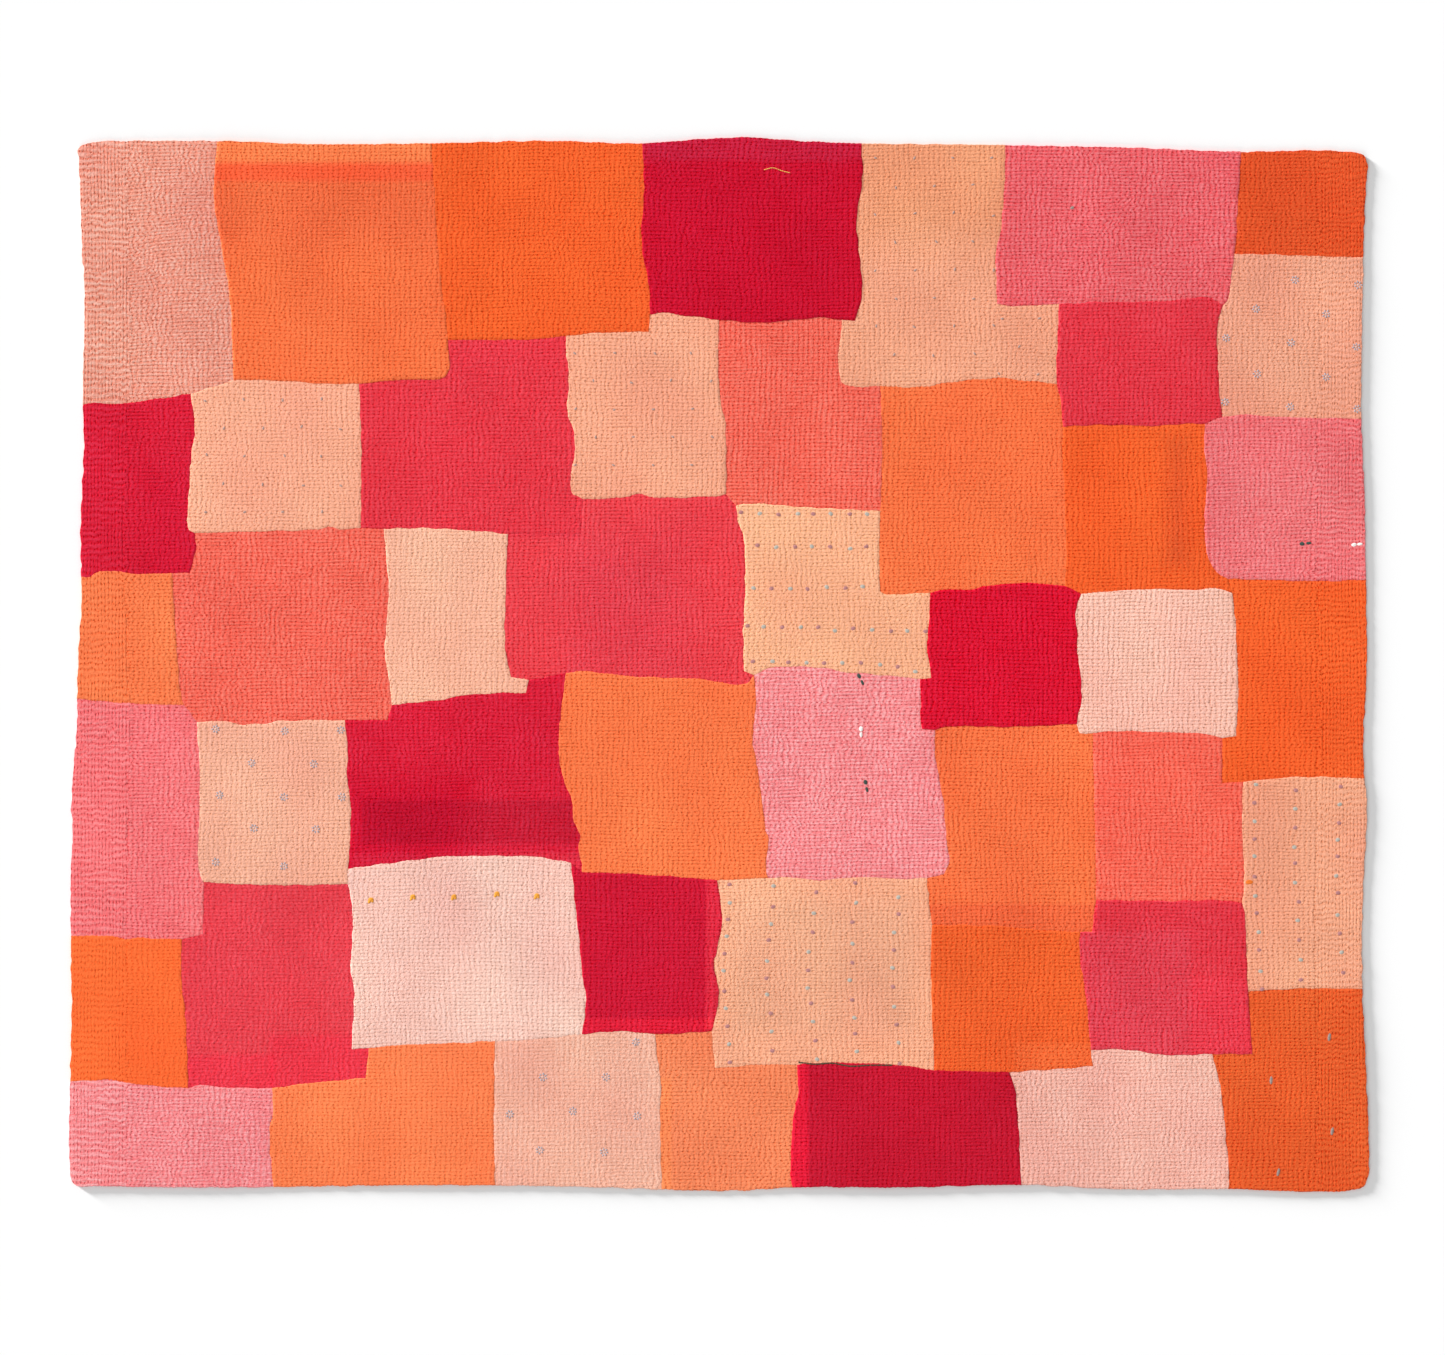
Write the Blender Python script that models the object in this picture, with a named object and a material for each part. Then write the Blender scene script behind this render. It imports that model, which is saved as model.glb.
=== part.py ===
"""A kantha quilt lying flat on a level surface: one quilted cloth, as one closed solid.

Metres, +Z up. X runs across the quilt and +Y towards its top edge. The origin is at the
middle of the quilt's box, on the surface that it lies on. The underside is flat. The
outline wavers as hand-cut, hand-sewn cloth does, the edge is a soft fold, and the upper
face carries the ripples that running stitch draws into layered cloth: ridges up and down
the field, and ridges across the two side bands, where the stitching turns to follow the
side edges.
"""

import math

import bmesh
import bpy
from mathutils import Vector
from mathutils.geometry import delaunay_2d_cdt

MM = 0.001

# Driving dimensions
WIDTH = 2.200
DEPTH = 1.784
BODY_THICKNESS = 0.0030
EDGE_FOLD_RADIUS = 0.0016
SIDE_BAND_WIDTH = 0.090

# Quilting: the ridges stand at twice the pitch of the stitches, to keep the solid light,
# and stop a little short of the edge, which is sewn down
RIDGE_PITCH = 0.0174
RIDGE_HEIGHT = 0.0009
RIDGE_STATIONS = 10
BAND_RIDGE_PITCH = 0.0208
FIELD_END_MARGIN = 0.028
BAND_END_MARGIN = 0.042
BAND_OUTER_MARGIN = 0.041
BAND_INNER_OVERLAP = 0.014

# Columns: share of the height, waves across and up the quilt (radians a metre), phase
SLACK_HEIGHT = 0.0004
SLACK_WAVES = (
    (1.0, 9.1, 2.3, 0.6),
    (0.8, 4.3, -11.7, 2.1),
    (0.6, 17.9, 14.3, 4.4),
)
WANDER_WIDTH = 0.0035
WANDER_WAVES = (
    (1.0, 3.1, 7.3, 0.0),
    (0.5, -5.7, 15.1, 1.3),
)

OUTLINE_SPACING = 0.030
SPLINE_STEPS = 12
WELD_DISTANCE = 1e-6
SHARP_ANGLE = math.radians(40)

# The quilt's four sides, a row for each section: how far along the side it lies, from
# the side's left or top end, and how far the cloth's edge stops short of the quilt's box.
# Columns: along (mm), inset (mm)
TOP_SIDE = (
    (14, 21), (35, 9), (86, 6), (289, 7), (390, 11), (610, 10), (822, 6), (966, 10),
    (1067, 3), (1152, 0), (1220, 5), (1342, 10), (1584, 13), (1779, 17), (1982, 24),
    (2117, 22), (2176, 26), (2190, 29), (2196, 39),
)
RIGHT_SIDE = (
    (106, 7), (199, 10), (478, 13), (597, 8), (766, 5), (902, 4), (1037, 10), (1139, 4),
    (1291, 11), (1435, 12), (1596, 4), (1731, 0), (1765, 3),
)
BOTTOM_SIDE = (
    (8, 11), (52, 9), (289, 7), (627, 11), (898, 7), (1118, 1), (1237, 7), (1406, 7),
    (1613, 11), (1779, 4), (1965, 4), (2083, 0), (2168, 2), (2192, 9),
)
LEFT_SIDE = (
    (38, 16), (174, 21), (275, 26), (411, 23), (546, 24), (648, 19), (783, 20), (918, 13),
    (986, 13), (1122, 3), (1172, 5), (1257, 2), (1494, 4), (1680, 0), (1756, 2),
)

CLOTH_COLOUR = (0.80, 0.22, 0.10, 1.0)
CLOTH_ROUGHNESS = 0.9


def clear_scene():
    """Remove what the scene holds."""
    for obj in list(bpy.data.objects):
        bpy.data.objects.remove(obj, do_unlink=True)


def side_points():
    """The outline's section points, clockwise from the top-left corner."""
    left, top = -WIDTH / 2, DEPTH / 2
    right, bottom = WIDTH / 2, -DEPTH / 2
    points = [Vector((left + along * MM, top - inset * MM)) for along, inset in TOP_SIDE]
    points += [Vector((right - inset * MM, top - along * MM)) for along, inset in RIGHT_SIDE]
    points += [
        Vector((left + along * MM, bottom + inset * MM)) for along, inset in reversed(BOTTOM_SIDE)
    ]
    points += [
        Vector((left + inset * MM, top - along * MM)) for along, inset in reversed(LEFT_SIDE)
    ]
    return points


def spline_point(before, start, end, after, share):
    """A point on the centripetal Catmull-Rom curve from start to end."""
    knots = [0.0]
    for first, second in ((before, start), (start, end), (end, after)):
        knots.append(knots[-1] + math.sqrt((second - first).length))
    at = knots[1] + share * (knots[2] - knots[1])

    def blend(first, second, low, high):
        return first.lerp(second, (at - low) / (high - low))

    near = blend(before, start, knots[0], knots[1])
    middle = blend(start, end, knots[1], knots[2])
    far = blend(end, after, knots[2], knots[3])
    return blend(
        blend(near, middle, knots[0], knots[2]), blend(middle, far, knots[1], knots[3]), knots[1], knots[2]
    )


def outline():
    """The quilt's edge as an even, smooth, closed ring of points."""
    points = side_points()
    count = len(points)
    fine = []
    for i in range(count):
        section = [points[(i + k) % count] for k in (-1, 0, 1, 2)]
        fine += [spline_point(*section, step / SPLINE_STEPS) for step in range(SPLINE_STEPS)]
    return evenly_spaced(fine)


def evenly_spaced(ring):
    """Points OUTLINE_SPACING apart, or a little less, along a closed ring."""
    lengths = [(ring[(i + 1) % len(ring)] - ring[i]).length for i in range(len(ring))]
    total = sum(lengths)
    count = math.ceil(total / OUTLINE_SPACING)
    spaced = []
    piece, walked = 0, 0.0
    for i in range(count):
        target = total * i / count
        while walked + lengths[piece] < target:
            walked += lengths[piece]
            piece += 1
        share = (target - walked) / lengths[piece]
        spaced.append(ring[piece].lerp(ring[(piece + 1) % len(ring)], share))
    return spaced


def inset_ring(ring, distance):
    """The clockwise ring, moved inwards."""
    moved = []
    for i, point in enumerate(ring):
        run = (ring[(i + 1) % len(ring)] - ring[i - 1]).normalized()
        moved.append(point + Vector((run.y, -run.x)) * distance)
    return moved


def waves(table, x, y):
    """The sum of a table's waves at a place."""
    return sum(share * math.sin(across * x + up * y + phase) for share, across, up, phase in table)


def body_height(x, y):
    """The upper face without its ridges: the layers' thickness and the slack left in them."""
    return BODY_THICKNESS + SLACK_HEIGHT * waves(SLACK_WAVES, x, y)


def wander(x, y):
    """How far a ridge strays sideways from its straight line."""
    return WANDER_WIDTH * waves(WANDER_WAVES, x, y)


def crests_and_furrows(reach, pitch):
    """Places from -reach to reach, half a pitch apart: a furrow at both ends."""
    steps = 2 * round(2 * reach / pitch)
    return [reach * (2 * i / steps - 1) for i in range(steps + 1)]


def field_lines():
    """Ridge and furrow lines of the field, each a list of points from bottom to top."""
    top = DEPTH / 2 - FIELD_END_MARGIN
    lines = []
    for i, x in enumerate(crests_and_furrows(WIDTH / 2 - SIDE_BAND_WIDTH, RIDGE_PITCH)):
        height = RIDGE_HEIGHT * (i % 2)
        line = []
        for station in range(RIDGE_STATIONS + 1):
            y = -top + 2 * top * station / RIDGE_STATIONS
            strayed = x + wander(x, y)
            line.append(Vector((strayed, y, body_height(strayed, y) + height)))
        lines.append(line)
    return lines


def band_lines(side):
    """Ridge and furrow lines across a side band: side is -1 on the left, 1 on the right."""
    outer = WIDTH / 2 - BAND_OUTER_MARGIN
    inner = WIDTH / 2 - SIDE_BAND_WIDTH + BAND_INNER_OVERLAP
    lines = []
    for i, y in enumerate(crests_and_furrows(DEPTH / 2 - BAND_END_MARGIN, BAND_RIDGE_PITCH)):
        height = RIDGE_HEIGHT * (i % 2)
        line = []
        for x in (side * inner, side * outer):
            strayed = y + wander(y, x)
            line.append(Vector((x, strayed, body_height(x, strayed) + height)))
        lines.append(line)
    return lines


def upper_face(ring):
    """Triangles of the upper face inside its ring: (points, faces), the ring's points first."""
    points = [Vector((p.x, p.y, body_height(p.x, p.y))) for p in ring]
    edges = [(i, (i + 1) % len(ring)) for i in range(len(ring))]
    for line in field_lines() + band_lines(-1) + band_lines(1):
        first = len(points)
        points += line
        edges += [(first + i, first + i + 1) for i in range(len(line) - 1)]
    flat = [Vector((p.x, p.y)) for p in points]
    inside_only = 1
    placed, _, faces, originals, _, _ = delaunay_2d_cdt(flat, edges, [], inside_only, WELD_DISTANCE)
    heights = [points[source[0]].z for source in originals]
    return [Vector((p.x, p.y, z)) for p, z in zip(placed, heights)], faces


def make_quilt(material):
    """The whole quilt: flat underside, folded edge and quilted upper face."""
    edge = outline()
    under_ring = inset_ring(edge, EDGE_FOLD_RADIUS / 2)
    upper_ring = inset_ring(edge, EDGE_FOLD_RADIUS)
    points, faces = upper_face(upper_ring)
    bm = bmesh.new()
    upper = [bm.verts.new(p) for p in points]
    side = [bm.verts.new((p.x, p.y, BODY_THICKNESS / 2)) for p in edge]
    under = [bm.verts.new((p.x, p.y, 0.0)) for p in under_ring]
    for face in faces:
        bm.faces.new([upper[i] for i in face])
    count = len(edge)
    for above, below in ((upper, side), (side, under)):
        for i in range(count):
            following = (i + 1) % count
            bm.faces.new((above[i], above[following], below[following], below[i]))
    bm.faces.new(under)
    bmesh.ops.triangulate(bm, faces=[f for f in bm.faces if len(f.verts) == 4])
    bmesh.ops.recalc_face_normals(bm, faces=bm.faces)
    mesh = bpy.data.meshes.new("quilt")
    bm.to_mesh(mesh)
    bm.free()
    mesh.materials.append(material)
    mesh.shade_smooth()
    mesh.set_sharp_from_angle(angle=SHARP_ANGLE)
    quilt = bpy.data.objects.new("quilt", mesh)
    bpy.context.scene.collection.objects.link(quilt)
    return quilt


def cloth_material():
    """Worn cotton."""
    material = bpy.data.materials.new("worn cotton")
    material.use_nodes = True
    shader = material.node_tree.nodes["Principled BSDF"]
    shader.inputs["Base Color"].default_value = CLOTH_COLOUR
    shader.inputs["Roughness"].default_value = CLOTH_ROUGHNESS
    shader.inputs["Metallic"].default_value = 0.0
    return material


def main():
    clear_scene()
    make_quilt(cloth_material())


main()
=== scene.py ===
"""The looks of a kantha quilt: patches of worn cotton, sewn through with running stitch.

Metres, in the CAD model's frame: X across the quilt, +Y towards its top edge, +Z up.
The patch layout is drawn on a chart of squares laid over the quilt's box, and everything
else is worked out from that chart, the box and the sizes named below.
"""

import math

import bpy
import numpy as np
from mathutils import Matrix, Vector
from mathutils.geometry import delaunay_2d_cdt


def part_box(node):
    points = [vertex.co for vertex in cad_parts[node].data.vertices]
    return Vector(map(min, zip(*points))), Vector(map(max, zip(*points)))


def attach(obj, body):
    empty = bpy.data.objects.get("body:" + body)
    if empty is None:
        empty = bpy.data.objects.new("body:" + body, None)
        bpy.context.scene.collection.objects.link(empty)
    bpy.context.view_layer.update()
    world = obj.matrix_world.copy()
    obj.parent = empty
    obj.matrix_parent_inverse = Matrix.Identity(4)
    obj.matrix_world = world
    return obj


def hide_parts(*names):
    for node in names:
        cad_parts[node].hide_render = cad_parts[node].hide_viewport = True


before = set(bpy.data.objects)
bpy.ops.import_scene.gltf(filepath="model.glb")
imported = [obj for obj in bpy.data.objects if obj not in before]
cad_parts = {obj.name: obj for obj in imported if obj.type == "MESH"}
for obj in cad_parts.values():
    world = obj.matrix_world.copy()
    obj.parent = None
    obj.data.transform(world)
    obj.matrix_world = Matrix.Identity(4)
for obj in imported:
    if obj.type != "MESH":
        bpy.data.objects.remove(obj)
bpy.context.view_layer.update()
LOW, HIGH = (np.array(corner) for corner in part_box("quilt"))

MM = 0.001
CHART_ACROSS = 1299.5
SQUARE = (HIGH[0] - LOW[0]) / CHART_ACROSS

# Running stitch. The rows run across the field, and up and down in the two side bands.
ROW_PITCH = 5.9 * MM
STITCH_CYCLE = 8.7 * MM
LEFT_BAND_CYCLE = 10.3 * MM
RIGHT_BAND_CYCLE = 8.8 * MM
LEFT_BAND_WIDTH = 99 * MM
RIGHT_BAND_WIDTH = 84 * MM
BAND_WAVER = 4 * MM
BAND_OVERLAP = 8 * MM
# How far the stitches of one row stray from those of the next, and the places where they
# keep less in step. Columns: across and down on the chart, radius there, share added
STRAY = 1.5 * MM
LOOSE_PLACES = (
    (70, 120, 130, 1.0), (760, 635, 90, 1.0), (70, 700, 100, 0.6), (90, 1000, 80, 0.5),
    (1235, 360, 70, 0.6), (1060, 80, 90, 0.5), (210, 480, 90, 0.4),
)
# Where the rows climb to the right: across and down on the chart, radius there, slope
LEANING_ROWS = (75, 110, 70, 0.13)
STITCH_LENGTH = 4.2 * MM
STITCH_WIDTH = 1.7 * MM
STITCH_RISE = 0.22 * MM
STITCH_SINK = 0.40 * MM
STITCH_SCATTER = 0.40 * MM
STITCH_SLANT = math.radians(8)
EDGE_CLEARANCE = 4 * MM
MISSED_STITCHES = 0.03
# Half the size of the pit at a stitch, as shares of the stitch cycle and of the row pitch
PIT_LENGTH = 0.25
PIT_WIDTH = 0.25

# The cloth's thickness, and the ripples that the stitches draw into it
BODY_THICKNESS = 3.3 * MM
LAYER_STEP = 0.10 * MM
PUCKER_HEIGHT = 0.13 * MM
SLACK_HEIGHT = 0.4 * MM
# Columns: share of the height, waves across and up the quilt (radians a metre), phase
SLACK_WAVES = (
    (1.0, 9.1, 2.3, 0.6),
    (0.8, 4.3, -11.7, 2.1),
    (0.6, 17.9, 14.3, 4.4),
)

OUTLINE_SPACING = 3 * MM
SEAM_SPACING = 4.35 * MM
SPLINE_STEPS = 12
FILL_CLEARANCE = 2.4 * MM
WELD_DISTANCE = 1e-7
INSIDE_ONLY = 1
SHARP_ANGLE = math.radians(40)
# How many passes bring a stitch to its place in the uneven rows
PLACING_PASSES = 6

# The quilt's four sides: how far along the side a section lies, from the side's left or
# top end, and how far the cloth's edge stops short of the quilt's box.
# Columns: along (mm), inset (mm)
TOP_SIDE = (
    (14, 21), (35, 9), (86, 6), (289, 7), (390, 11), (610, 10), (822, 6), (966, 10),
    (1067, 3), (1152, 0), (1220, 5), (1342, 10), (1584, 13), (1779, 17), (1982, 24),
    (2117, 22), (2176, 26), (2190, 29), (2196, 39),
)
RIGHT_SIDE = (
    (106, 7), (199, 10), (478, 13), (597, 8), (766, 5), (902, 4), (1037, 10), (1139, 4),
    (1291, 11), (1435, 12), (1596, 4), (1731, 0), (1765, 3),
)
BOTTOM_SIDE = (
    (8, 11), (52, 9), (289, 7), (627, 11), (898, 7), (1118, 1), (1237, 7), (1406, 7),
    (1613, 11), (1779, 4), (1965, 4), (2083, 0), (2168, 2), (2192, 9),
)
LEFT_SIDE = (
    (38, 16), (174, 21), (275, 26), (411, 23), (546, 24), (648, 19), (783, 20), (918, 13),
    (986, 13), (1122, 3), (1172, 5), (1257, 2), (1494, 4), (1680, 0), (1756, 2),
)

# Where seams meet, in chart squares from the box's top-left corner: (across, down).
# T, R, B and L lie on the top, right, bottom and left edges, J inside the quilt.
JUNCTIONS = {
    "T0": (8, 9), "T1": (147, 4), "T2": (361, 6), "T3": (573, 6), "T4": (792, 6),
    "T5": (936, 7), "T6": (1170, 14), "T7": (1294, 20),
    "R1": (1293, 119), "R2": (1292, 280), "R3": (1295, 441), "R4": (1294, 641),
    "R5": (1292, 851),
    "B9": (1295, 1050), "B8": (1159, 1051), "B7": (952, 1048), "B6": (723, 1050),
    "B4": (592, 1050), "B3": (426, 1048), "B2": (203, 1048), "B1": (3, 1046),
    "L5": (1, 943), "L4": (1, 797), "L3": (8, 561), "L2": (11, 439), "L1": (13, 267),
    "J1": (121, 256), "J2": (164, 242), "J3": (378, 202), "J4": (376, 238),
    "J5": (289, 246), "J6": (579, 194), "J7": (580, 177), "J8": (496, 198),
    "J9": (785, 183), "J10": (772, 182), "J11": (649, 182), "J12": (927, 166),
    "J13": (989, 166), "J14": (987, 246), "J15": (810, 248), "J16": (771, 244),
    "J17": (1164, 116), "J18": (1153, 167), "J20": (1152, 279), "J22": (1135, 286),
    "J23": (993, 289), "J24": (291, 390), "J25": (125, 395), "J26": (120, 435),
    "J27": (102, 435), "J29": (513, 361), "J30": (511, 396), "J31": (438, 396),
    "J32": (314, 391), "J33": (656, 356), "J34": (810, 373), "J35": (666, 368),
    "J36": (995, 448), "J37": (860, 455), "J38": (810, 453), "J39": (441, 539),
    "J40": (459, 542), "J41": (456, 555), "J42": (322, 567), "J43": (318, 582),
    "J44": (275, 582), "J45": (127, 584), "J46": (114, 567), "J47": (134, 744),
    "J48": (133, 796), "J49": (112, 801), "J50": (278, 731), "J51": (278, 746),
    "J52": (496, 535), "J53": (512, 734), "J54": (501, 725), "J55": (1011, 456),
    "J56": (1007, 586), "J57": (865, 592), "J58": (852, 591), "J59": (850, 541),
    "J60": (861, 540), "J61": (684, 537), "J64": (674, 533), "J66": (1158, 441),
    "J67": (1162, 455), "J68": (1166, 598), "J69": (1152, 600), "J70": (1023, 595),
    "J72": (1173, 644), "J73": (1152, 645), "J74": (512, 896), "J75": (425, 903),
    "J76": (299, 910), "J77": (282, 911), "J78": (647, 742), "J79": (642, 893),
    "J80": (585, 896), "J81": (698, 740), "J82": (874, 736), "J83": (857, 740),
    "J84": (1026, 762), "J85": (1022, 794), "J86": (1010, 794), "J87": (862, 787),
    "J88": (1172, 765), "J89": (1178, 853), "J90": (864, 932), "J91": (727, 927),
    "J92": (645, 930), "J93": (1021, 912), "J94": (1023, 928), "J95": (939, 934),
    "J96": (1182, 916), "J97": (1142, 916), "J98": (296, 940), "J99": (202, 950),
    "J100": (118, 950),
}

# The bends of each seam that isn't straight, in chart squares, from its first junction
SEAM_BENDS = {
    "T1 J2": ((144, 62), (151, 102), (158, 147), (161, 172), (162, 202)),
    "J1 L1": ((80, 262), (50, 266), (22, 265)),
    "T2 J3": ((365, 62), (371, 142), (376, 182)),
    "J3 J4": ((379, 217), (379, 232)),
    "J4 J5": ((370, 241), (330, 242), (300, 245)),
    "J5 J2": ((250, 246), (230, 244), (190, 242)),
    "T3 J7": ((574, 62), (571, 97), (576, 132), (579, 147)),
    "J6 J8": ((530, 195),),
    "J8 J3": ((470, 201),),
    "T4 J9": ((793, 32), (791, 52), (787, 82), (788, 102), (792, 157)),
    "J10 J11": ((750, 180), (690, 185)),
    "J11 J7": ((610, 177), (595, 175)),
    "T5 J12": ((934, 52), (930, 97), (926, 112), (926, 132)),
    "J12 J13": ((940, 168),),
    "J13 J14": ((987, 202), (986, 232)),
    "J14 J15": ((950, 242), (930, 240), (910, 241), (875, 245), (850, 249), (830, 249)),
    "J15 J16": ((785, 249), (775, 247)),
    "J16 J10": ((768, 222), (770, 202)),
    "T6 J17": ((1168, 62), (1166, 97)),
    "J17 R1": ((1210, 117), (1240, 118)),
    "J17 J18": ((1160, 147), (1158, 162)),
    "J18 J13": ((1135, 159), (1110, 162), (1070, 164), (1030, 164)),
    "J18 J20": ((1149, 180), (1147, 202), (1148, 227), (1149, 252)),
    "J20 R2": ((1170, 277), (1210, 279)),
    "J22 J23": ((1110, 286), (1090, 288), (1030, 287)),
    "J23 J14": ((992, 275),),
    "J5 J24": ((291, 282),),
    "J24 J25": ((270, 391), (258, 389), (250, 391), (170, 394)),
    "J25 J1": ((119, 392), (118, 377), (119, 362), (121, 322), (125, 290)),
    "J25 J26": ((126, 412), (123, 424)),
    "J27 L2": ((70, 436), (40, 433), (30, 434), (20, 439)),
    "J8 J29": ((496, 212), (499, 242), (498, 277), (505, 297), (504, 322), (501, 337), (503, 356)),
    "J31 J32": ((390, 392), (350, 390)),
    "J11 J33": ((648, 217), (651, 267), (655, 282), (656, 302)),
    "J33 J29": ((645, 358), (580, 359), (568, 356), (550, 360)),
    "J15 J34": ((811, 262), (812, 322)),
    "J34 J35": ((770, 371), (730, 369), (690, 366), (675, 366)),
    "J23 J36": ((993, 322), (995, 362), (996, 422)),
    "J36 J37": ((965, 445), (950, 445), (915, 448), (905, 451), (870, 452)),
    "J37 J38": ((830, 456), (814, 456)),
    "J38 J34": ((809, 422),),
    "J31 J39": ((437, 422), (436, 452), (435, 502), (437, 522)),
    "J41 J42": ((430, 555), (390, 558), (370, 562), (330, 566)),
    "J42 J32": ((318, 532), (315, 517), (317, 482), (319, 452), (315, 407)),
    "J44 J45": ((210, 583), (190, 586), (170, 586), (150, 583)),
    "J46 J27": ((112, 562), (108, 522), (104, 462)),
    "J46 L3": ((70, 566), (30, 563)),
    "J45 J47": ((130, 632), (130, 738)),
    "J49 L4": ((79, 800), (56, 800), (37, 798)),
    "J44 J50": ((277, 602), (278, 622), (277, 637), (281, 672), (280, 702)),
    "J51 J47": ((220, 747), (170, 746)),
    "J52 J53": (
        (492, 567), (489, 607), (490, 627), (494, 642), (500, 657), (503, 667), (504, 682),
        (510, 697), (509, 707),
    ),
    "J54 J50": ((470, 719), (410, 718), (370, 719), (330, 724), (290, 729)),
    "J55 J56": ((1005, 477), (1008, 497), (1007, 512), (1011, 542), (1011, 567), (1008, 577)),
    "J56 J57": ((970, 588), (930, 589), (890, 588), (875, 589)),
    "J58 J59": ((850, 577), (851, 562)),
    "J60 J37": ((860, 532), (857, 507), (859, 482)),
    "J59 J61": ((810, 537), (775, 534), (755, 530), (700, 530)),
    "J64 J35": ((673, 502), (675, 452), (673, 397), (668, 382)),
    "J61 J52": ((677, 546), (662, 546), (630, 541), (570, 539), (530, 535), (520, 533)),
    "J52 J40": ((470, 540),),
    "J22 J66": ((1134, 307), (1136, 322), (1137, 337), (1135, 402), (1140, 424), (1148, 435)),
    "J66 R3": ((1170, 441), (1250, 443)),
    "J67 J55": ((1145, 450), (1125, 452), (1090, 451), (1045, 453)),
    "J67 J68": ((1164, 472), (1167, 522), (1168, 552)),
    "J69 J70": ((1135, 596), (1090, 594), (1045, 593)),
    "J70 J56": ((1010, 595),),
    "J72 R4": ((1190, 642), (1230, 639)),
    "J54 J74": ((503, 742), (505, 762), (509, 802), (513, 842), (516, 857), (514, 882)),
    "J74 J75": ((450, 902),),
    "J75 J76": ((380, 905), (330, 907)),
    "J77 J51": ((284, 847), (281, 832), (282, 812), (283, 772)),
    "J53 J78": ((550, 735), (610, 739)),
    "J78 J79": (
        (649, 752), (652, 782), (647, 812), (644, 827), (647, 842), (649, 857), (647, 872),
    ),
    "J79 J80": ((630, 894), (595, 896)),
    "J80 J74": ((550, 893),),
    "J61 J81": (
        (686, 562), (683, 602), (686, 622), (689, 642), (692, 662), (696, 692), (699, 700),
        (696, 727),
    ),
    "J81 J78": ((670, 741),),
    "J57 J82": ((865, 617), (868, 632), (873, 662), (877, 707), (879, 722)),
    "J83 J81": ((830, 741), (790, 739), (750, 742), (715, 739)),
    "J70 J84": ((1023, 622), (1025, 692)),
    "J86 J87": ((970, 792), (930, 788)),
    "J87 J83": ((859, 762),),
    "J72 J88": ((1172, 692), (1174, 742)),
    "J88 J84": ((1150, 762), (1110, 763)),
    "J88 J89": ((1175, 782), (1177, 832)),
    "J89 R5": ((1240, 850),),
    "J87 J90": ((861, 837), (863, 902)),
    "J90 J91": ((830, 927), (738, 925)),
    "J91 J92": ((700, 926),),
    "J92 J79": ((643, 912),),
    "J86 J93": ((1010, 822), (1015, 852), (1020, 902)),
    "J94 J95": ((990, 931),),
    "J89 J96": ((1180, 882),),
    "J97 J93": ((1095, 917), (1070, 913), (1050, 911)),
    "J97 B8": ((1150, 947), (1155, 992), (1158, 1022)),
    "J95 B7": ((944, 947), (949, 1002)),
    "J98 J99": ((270, 942), (230, 946)),
    "J99 J100": ((150, 949), (130, 947)),
    "J100 J49": ((116, 882), (112, 842)),
    "J100 L5": ((95, 949), (60, 945), (45, 942)),
    "J91 B6": ((728, 952), (723, 982), (721, 1042)),
    "J99 B2": ((203, 972), (200, 992), (200, 1012)),
    "J75 B3": ((424, 992),),
    "J80 B4": ((587, 917), (591, 947), (590, 972)),
}

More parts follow.
